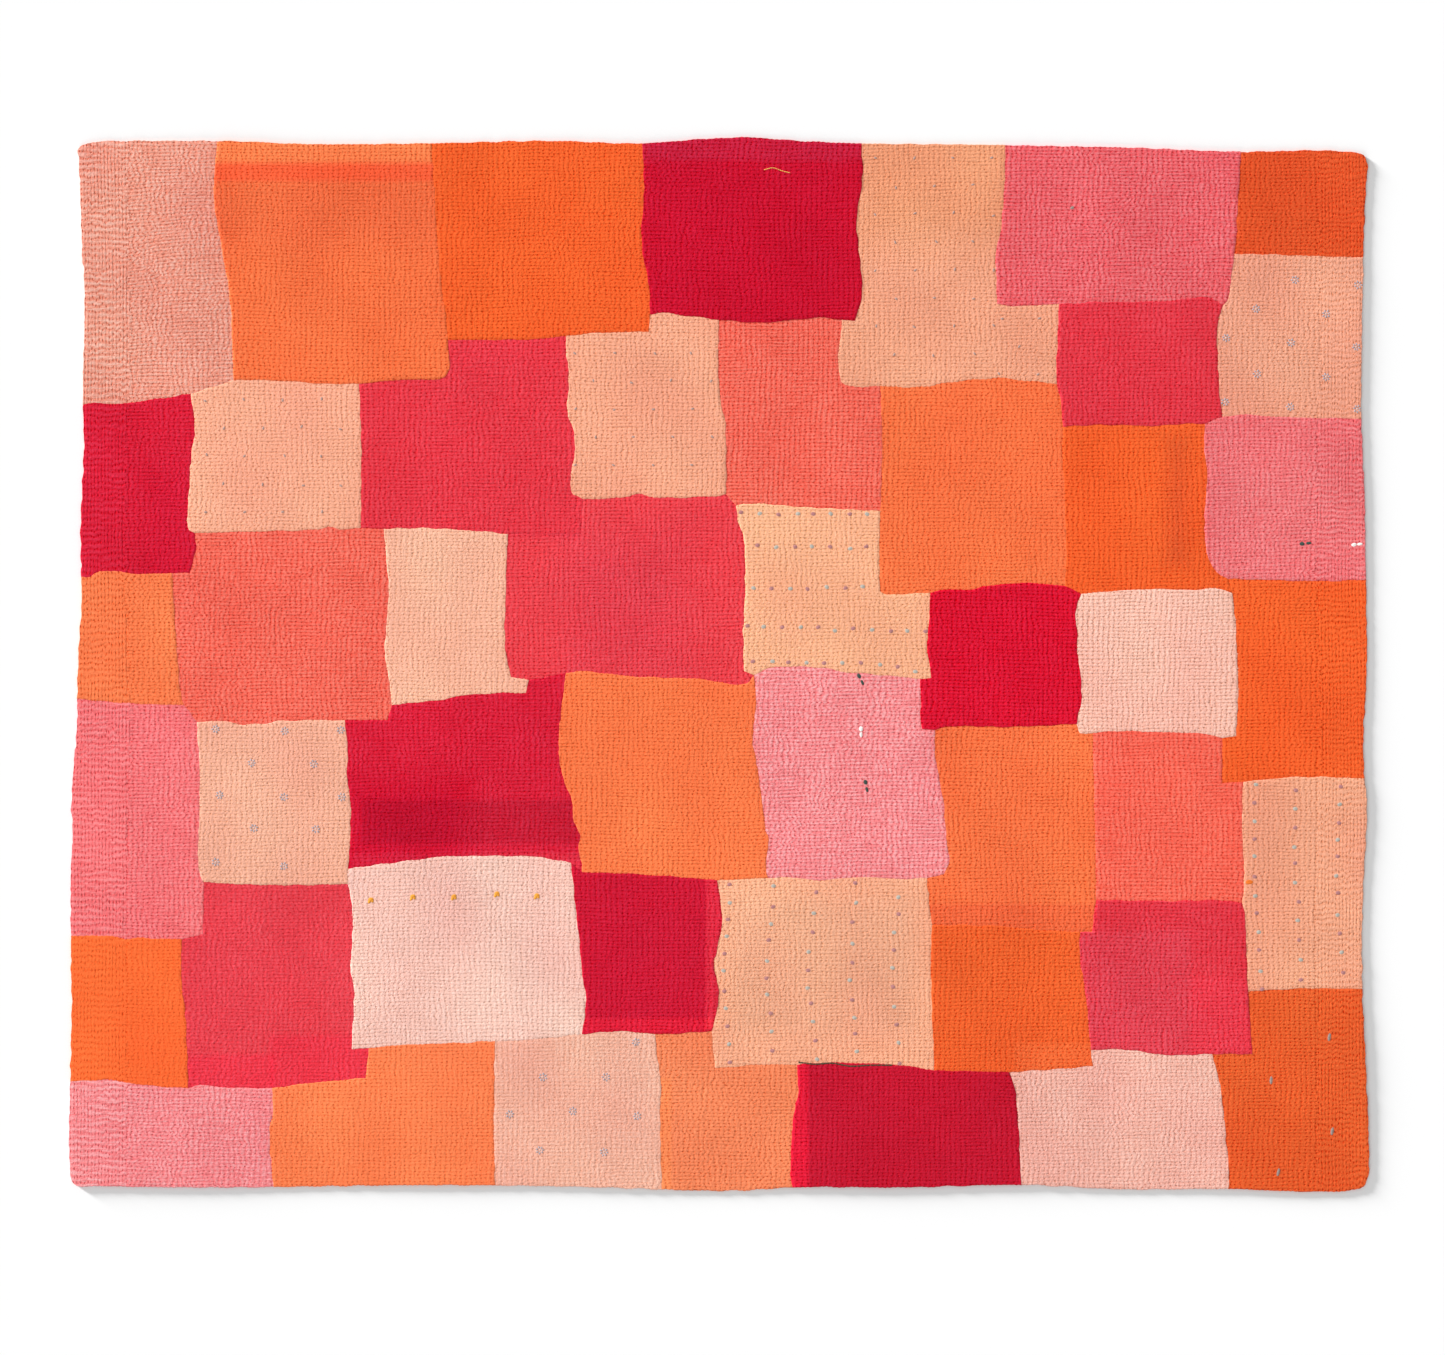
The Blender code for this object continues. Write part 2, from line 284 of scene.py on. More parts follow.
# The patches. Columns: cloth, layer (a higher one laps over a lower one), the junctions
# around the patch, clockwise
PATCHES = (
    ("salmon", 0, "T0 T1 J2 J1 L1"),
    ("light orange", 4, "T1 T2 J3 J4 J5 J2"),
    ("orange", 3, "T2 T3 J7 J6 J8 J3"),
    ("deep red", 4, "T3 T4 J9 J10 J11 J7"),
    ("dull peach", 1, "T4 T5 J12 J13 J14 J15 J16 J10 J9"),
    ("rose", 2, "T5 T6 J17 J18 J13 J12"),
    ("burnt orange", 0, "T6 T7 R1 J17"),
    ("dull peach", 1, "J17 R1 R2 J20 J18"),
    ("dark crimson", 3, "J13 J18 J20 J22 J23 J14"),
    ("peach", 2, "J1 J2 J5 J24 J25"),
    ("red", 1, "L1 J1 J25 J26 J27 L2"),
    ("crimson", 1, "J5 J4 J3 J8 J29 J30 J31 J32 J24"),
    ("peach", 2, "J8 J6 J7 J11 J33 J29"),
    ("coral", 0, "J11 J10 J16 J15 J34 J35 J33"),
    ("light orange", 0, "J15 J14 J23 J36 J37 J38 J34"),
    ("pale peach", 2, "J32 J31 J39 J40 J41 J42"),
    ("coral", 0, "J26 J25 J24 J32 J42 J43 J44 J45 J46 J27"),
    ("pale orange", 2, "L2 J27 J46 L3"),
    ("pink", 1, "L3 J46 J45 J47 J48 J49 L4"),
    ("pale peach", 2, "J45 J44 J50 J51 J47"),
    ("red", 1, "J44 J43 J42 J41 J40 J52 J53 J54 J50"),
    ("bright red", 3, "J37 J36 J55 J56 J57 J58 J59 J60"),
    ("golden peach", 2, "J35 J34 J38 J37 J60 J59 J61 J64"),
    ("bright crimson", 0, "J31 J30 J29 J33 J35 J64 J61 J52 J40 J39"),
    ("orange", 1, "J23 J22 J66 J67 J55 J36"),
    ("dull pink", 2, "J22 J20 R2 R3 J66"),
    ("blush", 2, "J55 J67 J68 J69 J70 J56"),
    ("orange", 0, "J67 J66 R3 R4 J72 J73 J69 J68"),
    ("pale blush", 2, "J50 J54 J74 J75 J76 J77 J51"),
    ("wine red", 3, "J54 J53 J78 J79 J80 J74"),
    ("pale orange", 2, "J52 J61 J81 J78 J53"),
    ("light pink", 1, "J61 J59 J58 J57 J82 J83 J81"),
    ("light orange", 0, "J57 J56 J70 J84 J85 J86 J87 J83 J82"),
    ("coral", 1, "J70 J69 J73 J72 J88 J84"),
    ("dull peach", 2, "J72 R4 R5 J89 J88"),
    ("peach", 1, "J78 J81 J83 J87 J90 J91 J92 J79"),
    ("orange", 2, "J87 J86 J93 J94 J95 J90"),
    ("dark crimson", 3, "J84 J88 J89 J96 J97 J93 J86 J85"),
    ("burnt orange", 0, "J89 R5 B9 B8 J97 J96"),
    ("blush peach", 1, "J95 J94 J93 J97 B8 B7"),
    ("bright crimson", 0, "J47 J51 J77 J76 J98 J99 J100 J49 J48"),
    ("bright orange", 2, "L4 J49 J100 L5"),
    ("dark red", 3, "J91 J90 J95 B7 B6"),
    ("light pink", 1, "L5 J100 J99 B2 B1"),
    ("pale orange", 2, "J99 J98 J76 J75 B3 B2"),
    ("dusty peach", 1, "J75 J74 J80 B4 B3"),
    ("apricot", 0, "J80 J79 J92 J91 B6 B4"),
)

# The cloths. Columns: colour as it looks in daylight, how pale the ripples' crests are from wear and
# painted highlight
CLOTHS = {
    "salmon": ("E6927D", 0.34),
    "light orange": ("F27243", 0.08),
    "pale orange": ("F67D4D", 0.08),
    "bright orange": ("F96C36", 0.05),
    "orange": ("EE612D", 0.06),
    "burnt orange": ("DE562C", 0.06),
    "apricot": ("EF865B", 0.08),
    "deep red": ("C7142F", 0.12),
    "wine red": ("C91A34", 0.12),
    "dark red": ("C01930", 0.10),
    "red": ("D52038", 0.16),
    "bright red": ("D61530", 0.14),
    "crimson": ("E23845", 0.15),
    "dark crimson": ("DB3542", 0.15),
    "bright crimson": ("E54049", 0.15),
    "coral": ("EF6554", 0.22),
    "rose": ("E45C62", 0.26),
    "pink": ("F07073", 0.24),
    "dull pink": ("E76D70", 0.24),
    "light pink": ("EF8285", 0.36),
    "peach": ("F3A98B", 0.12),
    "dull peach": ("EBA181", 0.10),
    "golden peach": ("F4AF89", 0.10),
    "pale peach": ("F3B498", 0.12),
    "dusty peach": ("ECAB94", 0.20),
    "blush": ("F3B8A5", 0.22),
    "pale blush": ("F1BFB0", 0.22),
    "blush peach": ("EBAD9D", 0.22),
}
# Thread looks deeper dyed than the cloth around it; the hollows at the stitches get painted shade, a
# deeper colour of the cloth; the ripples' crests are paler from wear and painted highlight. Columns:
# share of the cloth's red, share and power of its green and blue
THREAD_DYE = (0.90, 1.0, 1.28)
HOLLOW_SHADE_TONE = (0.70, 0.85, 1.50)
WORN_SHEEN_REDNESS = 1.06
# How firmly the stitches draw some patches in, where it isn't 1, by patch number; this deepens their
# relief and the painted shade in their hollows
FIRMNESS = {
    1: 1.2, 4: 1.15, 6: 1.2, 13: 1.1, 14: 1.2, 17: 1.1, 22: 1.4, 27: 1.35, 32: 1.1, 33: 1.1,
    41: 0.65, 42: 0.55, 43: 0.9, 44: 0.85, 45: 0.75, 46: 0.65,
}

# Faded, stained and doubled places. Columns: patch number, left, top, right and bottom on
# the chart, how wide the change is, the colour there
TINTS = (
    (2, 120, -20, 380, 25, 6, "F67F4C"),
    (2, 120, 25, 380, 43, 4, "F8623B"),
    (2, 120, 36, 380, 110, 34, "EB6B41"),
    (4, 560, -20, 810, 23, 3, "C41E3A"),
    (5, 780, -20, 985, 105, 60, "E59670"),
    (21, 292, 662, 507, 706, 5, "C31D34"),
    (8, 1130, 100, 1320, 300, 9, "E69B80"),
    (11, 70, 330, 135, 450, 40, "D01A34"),
    (13, 480, 160, 680, 380, 9, "F0A485"),
    (20, 110, 570, 300, 760, 9, "EFAE93"),
    (21, 270, 640, 400, 740, 40, "CE1531"),
    (21, 284, 715, 512, 733, 4, "DA2E42"),
    (24, 440, 350, 505, 396, 16, "DF3144"),
    (24, 500, 400, 610, 530, 60, "DD3D4A"),
    (25, 1098, 300, 1116, 425, 22, "DF5A2F"),
    (30, 636, 740, 660, 893, 3, "DC2A40"),
    (30, 500, 880, 660, 900, 3, "DC2038"),
    (31, 470, 520, 720, 760, 12, "F57847"),
    (34, 1000, 560, 1200, 790, 12, "F0604E"),
    (33, 850, 766, 1030, 800, 3, "EC683F"),
    (36, 640, 735, 870, 940, 9, "F2AA87"),
    (36, 664, 764, 842, 893, 24, "EAA68A"),
    (37, 850, 780, 1030, 940, 9, "E9612E"),
    (37, 945, 906, 1030, 940, 4, "F26A36"),
    (38, 1000, 793, 1120, 930, 6, "D93D4B"),
    (38, 1120, 840, 1200, 930, 4, "E33948"),
    (39, 1120, 840, 1320, 1070, 12, "E15E2E"),
    (41, 100, 730, 310, 960, 9, "E13F4A"),
    (41, 200, 897, 300, 950, 3, "EB3846"),
    (41, 110, 917, 205, 955, 3, "EB3846"),
    (43, 700, 920, 738, 1060, 3, "DE1C36"),
    (47, 580, 940, 601, 1060, 3, "F98B57"),
)
BACKING_CLOTH = "salmon"

# How a patch's edge is finished. Columns: inset from the seam (mm), share of the cloth's
# height, share of the drop to the cloth below. One row for each ring, from the inside out.
EDGE_PROFILES = {
    "over": ((1.0, 1.0, 0.0), (0.25, 1.0, 0.45), (0.0, 1.0, 1.0), (0.1, 1.0, 1.1)),
    "under": ((1.0, 1.0, 0.0), (-0.6, 0.97, 0.0), (-2.4, 0.80, 0.0), (-4.0, 0.62, 0.0)),
    "outer": ((1.9, 1.0, 0.0), (0.35, 0.97, 0.0), (0.0, 0.5, 0.0), (0.7, 0.1, 0.0)),
}
# How dark the painted shade makes the quilt's turned-down outer edge on each ring past the first
EDGE_SHADE = (0.80, 0.60, 0.60)
BUTT_DROP = 0.14 * MM
LAP_DROP = 0.06 * MM

# The backing's folded edge. Columns: inset from the outline (mm), height (mm). One row for
# each ring, from the underside up.
BACKING_RINGS = ((2.4, 0.1), (1.5, 0.4), (1.3, 1.6))
BACKING_LEVEL = 0.1 * MM
BACKING_GRID = 20 * MM
BACKING_CLEARANCE = 12 * MM

# How much painted shade darkens the cloth in the hollows, and how far they sink into its relief
PIT_SHADE, FURROW_SHADE, GROOVE_SHADE = 0.90, 0.22, 0.26
PIT_SINK, FURROW_SINK, GROOVE_SINK = 0.58, 0.15, 0.27
RELIEF_STRENGTH = 0.8
RELIEF_DEPTH = 0.8 * MM

# Woven and embroidered motifs, in chart squares. Each lies on the patch below it.
FLOWERS = (
    (1225, 142), (1288, 147), (1186, 171), (1256, 176), (1156, 200), (1221, 205),
    (1286, 209), (1187, 236), (1256, 239), (1155, 264), (1220, 269), (1287, 271),
    (146, 591), (215, 593), (271, 592), (182, 625), (244, 626), (150, 657), (214, 659),
    (272, 659), (184, 690), (246, 691), (146, 724), (214, 728),
    (566, 904), (473, 939), (536, 939), (440, 976), (503, 973), (567, 978), (470, 1012),
    (534, 1014),
)
# Lines of woven dots, mauve and pale in turn. Columns: across and down at the first dot and
# at the last one, whether the first is mauve
DOT_LINES = (
    (672, 376, 797, 376, True), (688, 409, 797, 409, True), (684, 450, 793, 450, False),
    (677, 488, 855, 494, True), (684, 523, 790, 526, True), (809, 526, 846, 532, False),
    (660, 746, 653, 833, True), (654, 852, 659, 925, True),
    (704, 749, 696, 840, False), (698, 857, 703, 912, False),
    (746, 756, 739, 832, True), (740, 849, 746, 920, False),
    (786, 745, 781, 824, True), (781, 842, 787, 914, False),
    (828, 758, 823, 831, False), (823, 849, 830, 925, True),
    (1185, 647, 1184, 738, False), (1185, 757, 1193, 851, False),
    (1225, 654, 1225, 744, True), (1227, 763, 1232, 841, True),
    (1270, 648, 1266, 737, True), (1267, 756, 1273, 834, True),
)
DOT_PITCH = 18
# Faint flecks in the weave. Columns: left, top, right and bottom of the place, on the chart
FLECKED = (
    (806, 20, 925, 240), (930, 180, 980, 240), (135, 262, 285, 385), (505, 215, 648, 350),
)
FLECK_SPACING = (39, 28)
PETAL_COUNT = 7
PETAL_REACH = 5.2 * MM
LEAVES = (
    (1259, 899), (1201, 942), (1262, 993), (1208, 1034),
)
SPRIGS = ((301, 762), (343, 759), (384, 759), (427, 756), (467, 758))
# Darned places. Columns: across and down of one end and of the other
GREEN_DARNS = ((1230, 406, 1240, 405), (788, 536, 793, 546), (795, 642, 797, 653))
WHITE_DARNS = ((1282, 407, 1291, 406), (791, 589, 791, 598))
OLIVE_THREAD = ((728, 924), (745, 926), (762, 925), (780, 928), (800, 927), (822, 927))
YELLOW_THREAD = ((694, 32), (703, 30), (712, 33), (720, 35))

# The stage, with the picture's size and the quilt's margins in it (chart squares)
FLOOR_SIZE = 30
FLOOR_SHADE = 0.92
ROOM_LIGHT = 0.538
CAMERA_DISTANCE = 9.0
PICTURE_ACROSS, PICTURE_DOWN = 1445, 1355
LEFT_MARGIN, TOP_MARGIN = 69.5, 137.5


def srgb(code):
    """A six-digit colour code as linear red, green, blue and alpha."""
    parts = [int(code[i:i + 2], 16) / 255 for i in (0, 2, 4)]
    linear = [p / 12.92 if p <= 0.04045 else ((p + 0.055) / 1.055) ** 2.4 for p in parts]
    return (*linear, 1.0)


def noise(x, y, wavelength, seed, stretch=1.0):
    """Smooth noise, mostly within -1 to 1: plane waves of like lengths in many directions."""
    rng = np.random.default_rng(seed)
    waves = 9
    total = np.zeros(np.broadcast(x, y).shape)
    for _ in range(waves):
        angle, phase = rng.uniform(0, 2 * math.pi, 2)
        number = 2 * math.pi / (wavelength * rng.uniform(0.7, 1.5))
        total += np.sin(number * (x * math.cos(angle) / stretch + y * math.sin(angle)) + phase)
    return total / math.sqrt(waves)


def chart(across, down):
    """A chart point in metres."""
    return np.array([LOW[0] + (across + 0.5) * SQUARE, HIGH[1] - (down + 0.5) * SQUARE])


def spline_point(before, start, end, after, share):
    """A point on the centripetal Catmull-Rom curve from start to end."""
    knots = [0.0]
    for first, second in ((before, start), (start, end), (end, after)):
        knots.append(knots[-1] + max(math.sqrt(np.linalg.norm(second - first)), 1e-6))
    at = knots[1] + share * (knots[2] - knots[1])

    def blend(first, second, low, high):
        return first + (second - first) * (at - low) / (high - low)

    near = blend(before, start, knots[0], knots[1])
    middle = blend(start, end, knots[1], knots[2])
    far = blend(end, after, knots[2], knots[3])
    first = blend(near, middle, knots[0], knots[2])
    second = blend(middle, far, knots[1], knots[3])
    return blend(first, second, knots[1], knots[2])


def curve(points, closed=False):
    """A fine line through the points."""
    count = len(points)
    if closed:
        around = [points[i % count] for i in range(-1, count + 2)]
    else:
        around = [2 * points[0] - points[1], *points, 2 * points[-1] - points[-2]]
    fine = []
    for i in range(len(around) - 3):
        section = around[i:i + 4]
        fine += [spline_point(*section, step / SPLINE_STEPS) for step in range(SPLINE_STEPS)]
    return np.array(fine if closed else [*fine, points[-1]])


def spaced(line, spacing):
    """The line's points, evenly spaced, both ends kept."""
    steps = np.linalg.norm(np.diff(line, axis=0), axis=1)
    walked = np.concatenate([[0.0], np.cumsum(steps)])
    count = max(int(round(walked[-1] / spacing)), 1) + 1
    at = np.linspace(0, walked[-1], count)
    return np.stack([np.interp(at, walked, line[:, k]) for k in (0, 1)], axis=1)


def side_points():
    """The outline's section points, clockwise from the top-left corner."""
    (left, bottom), (right, top) = LOW[:2], HIGH[:2]
    points = [(left + along * MM, top - inset * MM) for along, inset in TOP_SIDE]
    points += [(right - inset * MM, top - along * MM) for along, inset in RIGHT_SIDE]
    points += [(left + along * MM, bottom + inset * MM) for along, inset in reversed(BOTTOM_SIDE)]
    points += [(left + inset * MM, top - along * MM) for along, inset in reversed(LEFT_SIDE)]
    return [np.array(p) for p in points]


def near_place(x, y, across, down, radius):
    """1 at a place on the chart, and down to 0 a few radii away."""
    place = chart(across, down)
    gap = (x - place[0]) ** 2 + (y - place[1]) ** 2
    return np.exp(-gap / (2 * (radius * SQUARE) ** 2))


def stray(x, y):
    """How far the stitches of one row stray from those of the next."""
    loose = sum(added * near_place(x, y, *place) for *place, added in LOOSE_PLACES)
    return STRAY * (1 + 0.35 * noise(x, y, 0.6, 17) + loose)


def ridges(x, y):
    """How far the ripples show as ridges across the rows, from 0, where only rows show."""
    share = 0.48 + 0.24 * noise(x, y, 0.08, 18)
    return np.clip(np.where(band_depth(x, y) > 0, share + 0.2, share), 0, 1)


def field_phase(x, y):
    """Where a point of the field lies in its stitching: stitches along the row, rows."""
    *place, radius, slope = LEANING_ROWS
    climb = slope * (x - chart(*place)[0]) * near_place(x, y, *place, radius)
    along = x + 2.6 * MM * noise(x, y, 0.42, 11) + 1.0 * MM * noise(x, y, 0.075, 12)
    along = along + stray(x, y) * noise(x, y, 0.012, 15, 5)
    across = y - climb + 2.2 * MM * noise(x, y, 0.55, 13) + 0.9 * MM * noise(x, y, 0.09, 14, 1.5)
    return along / STITCH_CYCLE, across / ROW_PITCH


def band_phase(x, y):
    """The same in a side band, where the rows run up and down."""
    along = y + 2.2 * MM * noise(x, y, 0.35, 21) + 1.5 * MM * noise(x, y, 0.045, 22)
    along = along + 1.3 * STRAY * noise(y, x, 0.012, 25, 5)
    across = x + 1.2 * MM * noise(x, y, 0.45, 23) + 0.4 * MM * noise(x, y, 0.10, 24)
    cycle = np.where(np.asarray(x) < 0, LEFT_BAND_CYCLE, RIGHT_BAND_CYCLE)
    return along / cycle, across / ROW_PITCH


def stitch_places(along, across, in_band):
    """The points with these stitching phases: the phases' own functions, turned round."""
    goal_across = across * ROW_PITCH
    cycle = STITCH_CYCLE
    if in_band:
        cycle = np.where(goal_across < 0, LEFT_BAND_CYCLE, RIGHT_BAND_CYCLE)
    goal_along = along * cycle
    x, y = (goal_across, goal_along) if in_band else (goal_along, goal_across)
    for _ in range(PLACING_PASSES):
        s, r = band_phase(x, y) if in_band else field_phase(x, y)
        miss_along, miss_across = goal_along - s * cycle, goal_across - r * ROW_PITCH
        x = x + (miss_across if in_band else miss_along)
        y = y + (miss_along if in_band else miss_across)
    return x, y


def band_depth(x, y):
    """How far inside a side band a point lies; less than nothing in the field."""
    waver = BAND_WAVER * (noise(0.0 * x, y, 0.5, 31) + 0.6 * noise(x, y, 0.03, 32))
    left = LOW[0] + LEFT_BAND_WIDTH + waver - x
    right = x - (HIGH[0] - RIGHT_BAND_WIDTH + waver)
    return np.maximum(left, right)


def body_height(x, y):
    """The cloth's upper face without patches or puckers."""
    waves = sum(
        share * np.sin(across * x + up * y + phase) for share, across, up, phase in SLACK_WAVES
    )
    return BODY_THICKNESS + SLACK_HEIGHT * waves


def pucker(x, y):
    """How far the stitches lift or sink the cloth: ridges between them, furrows at them."""
    field, _ = field_phase(x, y)
    band, _ = band_phase(x, y)
    share = np.clip(band_depth(x, y) / BAND_OVERLAP / 2 + 0.5, 0, 1)
    wave = (1 - share) * np.cos(2 * math.pi * field) + share * np.cos(2 * math.pi * band)
    return -PUCKER_HEIGHT * wave * (1 + 0.3 * noise(x, y, 0.05, 41) + 0.3 * noise(x, y, 0.013, 42))


def make_outline():
    """The quilt's edge as an even, closed ring of points, clockwise."""
    ring = curve(side_points(), closed=True)
    return spaced(np.vstack([ring, ring[:1]]), OUTLINE_SPACING)[:-1]


OUTLINE = make_outline()


def outline_index(name):
    """The outline point nearest to a junction on the quilt's edge."""
    return int(np.argmin(np.linalg.norm(OUTLINE - chart(*JUNCTIONS[name]), axis=1)))


def on_edge(name):
    """Whether a junction lies on the quilt's edge."""
    return not name.startswith("J")


def junction(name):
    """A junction's place in metres."""
    return OUTLINE[outline_index(name)] if on_edge(name) else chart(*JUNCTIONS[name])


def unruly(line, keep_ends):
    """The line, as uneven as hand-cut and hand-sewn cloth, its ends kept where asked."""
    x, y = line[:, 0], line[:, 1]
    along, _ = field_phase(x, y)
    uneven = np.stack([
        0.7 * MM * noise(x, y, 0.035, 51) + 0.45 * MM * noise(x, y, 0.013, 53),
        0.7 * MM * noise(x, y, 0.035, 52) + 0.45 * MM * np.cos(2 * math.pi * along),
    ], axis=1)
    if keep_ends:
        reach = np.minimum(np.arange(len(line)), np.arange(len(line))[::-1])
        uneven *= np.clip(reach / 3, 0, 1)[:, None]
    return line + uneven


def seam(start, end):
    """The line from one junction to the next: along the quilt's edge, or between patches."""
    if on_edge(start) and on_edge(end):
        first, last = outline_index(start), outline_index(end)
        ring = np.roll(OUTLINE, -first, axis=0)
        line = ring[:(last - first) % len(OUTLINE) + 1]
        return unruly(spaced(line, SEAM_SPACING), keep_ends=False)
    bends = [chart(*p) for p in SEAM_BENDS.get(f"{start} {end}", ())]
    bends += [chart(*p) for p in reversed(SEAM_BENDS.get(f"{end} {start}", ()))]
    line = curve([junction(start), *bends, junction(end)])
    backward = start > end
    if backward:
        line = line[::-1]
    line = unruly(spaced(line, SEAM_SPACING), keep_ends=True)
    return line[::-1] if backward else line


def neighbour_layers():
    """For each stretch of each patch's rim, the layer of the patch beyond it, if any."""
    owner = {}
    for cloth, layer, loop in PATCHES:
        names = loop.split()
        for pair in zip(names, names[1:] + names[:1]):
            owner[pair] = layer
    return owner


LAYER_BEYOND = neighbour_layers()


def patch_rim(layer, loop):
    """The patch's rim: its points clockwise, and the finish and drop at each point."""
    names = loop.split()
    points, finishes, drops = [], [], []
    for start, end in zip(names, names[1:] + names[:1]):
        line = seam(start, end)[:-1]
        beyond = LAYER_BEYOND.get((end, start))
        if beyond is None:
            finish, drop = "outer", 0.0
        elif beyond > layer:
            finish, drop = "under", 0.0
        elif beyond == layer:
            finish, drop = "over", BUTT_DROP
        else:
            finish, drop = "over", (layer - beyond) * LAYER_STEP + LAP_DROP
        points.append(line)
        finishes += ["outer" if on_edge(start) else finish] + [finish] * (len(line) - 1)
        drops += [drop] * len(line)
    return np.vstack(points), finishes, np.array(drops)


def outward(rim):
    """Unit normals of a clockwise rim, pointing out of the patch."""
    run = np.roll(rim, -1, axis=0) - np.roll(rim, 1, axis=0)
    run /= np.linalg.norm(run, axis=1)[:, None]
    return np.stack([-run[:, 1], run[:, 0]], axis=1)


def inside(points, rim):
    """Which points lie inside the rim."""
    x, y = points[:, :1], points[:, 1:]
    ax, ay = rim[:, 0], rim[:, 1]
    bx, by = np.roll(ax, -1), np.roll(ay, -1)
    spans = (ay > y) != (by > y)
    with np.errstate(divide="ignore", invalid="ignore"):
        crossing = x < (bx - ax) * (y - ay) / (by - ay) + ax
    return (spans & crossing).sum(axis=1) % 2 == 1


def clear_of(points, rim, distance):
    """Which points lie at least a distance from the rim's points."""
    gaps = points[:, None, :] - rim[None, :, :]
    return (gaps ** 2).sum(axis=2).min(axis=1) > distance ** 2


def lattice():
    """Points on every ridge and furrow of the quilting, at every row of stitches."""
    reach_x, reach_y = 0.52 * (HIGH - LOW)[:2]
    s, r = np.meshgrid(
        np.arange(-math.ceil(reach_x / STITCH_CYCLE), reach_x / STITCH_CYCLE, 0.5),
        np.arange(-math.ceil(reach_y / ROW_PITCH), reach_y / ROW_PITCH),
    )
    x, y = stitch_places(s.ravel(), r.ravel(), in_band=False)
    field = np.stack([x, y], axis=1)[band_depth(x, y) < 0]
    s, r = np.meshgrid(
        np.arange(-math.ceil(reach_y / RIGHT_BAND_CYCLE), reach_y / RIGHT_BAND_CYCLE, 0.5),
        np.arange(-math.ceil(reach_x / ROW_PITCH), reach_x / ROW_PITCH),
    )
    x, y = stitch_places(s.ravel(), r.ravel(), in_band=True)
    band = np.stack([x, y], axis=1)[band_depth(x, y) >= 0]
    return np.vstack([field, band])


LATTICE = lattice()


def new_object(name, points, triangles, material):
    """A smoothly shaded mesh of one material."""
    mesh = bpy.data.meshes.new(name)
    mesh.from_pydata(points.tolist(), [], triangles.tolist())
    mesh.materials.append(material)
    mesh.shade_smooth()
    mesh.set_sharp_from_angle(angle=SHARP_ANGLE)
    obj = bpy.data.objects.new(name, mesh)
    bpy.context.scene.collection.objects.link(obj)
    return obj


def add_stitching(obj, points, triangles):
    """Store where each corner lies in the stitching, for the material's puckers."""
    middle = points[triangles].mean(axis=1)
    in_band = np.repeat(band_depth(middle[:, 0], middle[:, 1]) > 0, 3)
    corner = points[triangles.ravel()]
    x, y = corner[:, 0], corner[:, 1]
    field, band = field_phase(x, y), band_phase(x, y)
    phases = np.zeros((len(corner), 3), dtype=np.float32)
    for k in (0, 1):
        phases[:, k] = np.where(in_band, band[k], field[k])
    phases[:, 2] = ridges(x, y)
    attribute = obj.data.attributes.new("stitching", "FLOAT_VECTOR", "CORNER")
    attribute.data.foreach_set("vector", phases.ravel())


def fill(ring, extra):
    """Triangles over a clockwise ring and the points inside it, facing up."""
    flat = np.vstack([ring, extra])
    edges = [(i, (i + 1) % len(ring)) for i in range(len(ring))]
    placed, _, faces, sources, _, _ = delaunay_2d_cdt(
        [Vector(p) for p in flat], edges, [], INSIDE_ONLY, WELD_DISTANCE
    )
    source = np.array([s[0] for s in sources])
    triangles = source[np.array(faces)]
    a, b, c = (flat[triangles[:, k]] for k in range(3))
    turn = (b[:, 0] - a[:, 0]) * (c[:, 1] - a[:, 1]) - (b[:, 1] - a[:, 1]) * (c[:, 0] - a[:, 0])
    triangles[turn < 0] = triangles[turn < 0][:, ::-1]
    return triangles


def strip(first_ring, second_ring, count):
    """Triangles between two clockwise rings of count points, the second one outside."""
    i = np.arange(count)
    j = (i + 1) % count
    lower = np.stack([first_ring + i, first_ring + j, second_ring + j], axis=1)
    upper = np.stack([first_ring + i, second_ring + j, second_ring + i], axis=1)
    return np.vstack([lower, upper])


def patch_mesh(layer, loop):
    """A patch's points and triangles: puckered cloth with its edge turned down or tucked."""
    rim, finishes, drops = patch_rim(layer, loop)
    outer = np.array([finish == "outer" for finish in finishes])
    normals = outward(rim)
    rows = np.array([EDGE_PROFILES[finish] for finish in finishes])
    rings = [rim - normals * (rows[:, k, 0] * MM)[:, None] for k in range(rows.shape[1])]
    low, high = rim.min(axis=0), rim.max(axis=0)
    near = LATTICE[((LATTICE > low) & (LATTICE < high)).all(axis=1)]
    near = near[inside(near, rings[0])]
    near = near[clear_of(near, rings[0], FILL_CLEARANCE)]
    count = len(rim)

    def height(places):
        x, y = places[:, 0], places[:, 1]
        return body_height(x, y) + pucker(x, y) + layer * LAYER_STEP

    points = [np.column_stack([rings[0], height(rings[0])]), np.column_stack([near, height(near)])]
    triangles = [fill(rings[0], near)]
    edge_shade = [np.ones(count + len(near))]
    last = 0
    for k in range(1, rows.shape[1]):
        z = height(rings[k]) * rows[:, k, 1] - drops * rows[:, k, 2]
        start = count + len(near) + (k - 1) * count
        points.append(np.column_stack([rings[k], z]))
        triangles.append(strip(last, start, count))
        # The rings of the quilt's outer edge get painted shade
        edge_shade.append(np.where(outer, EDGE_SHADE[k - 1], 1.0))
        last = start
    return rim, np.vstack(points), np.vstack(triangles), np.concatenate(edge_shade)


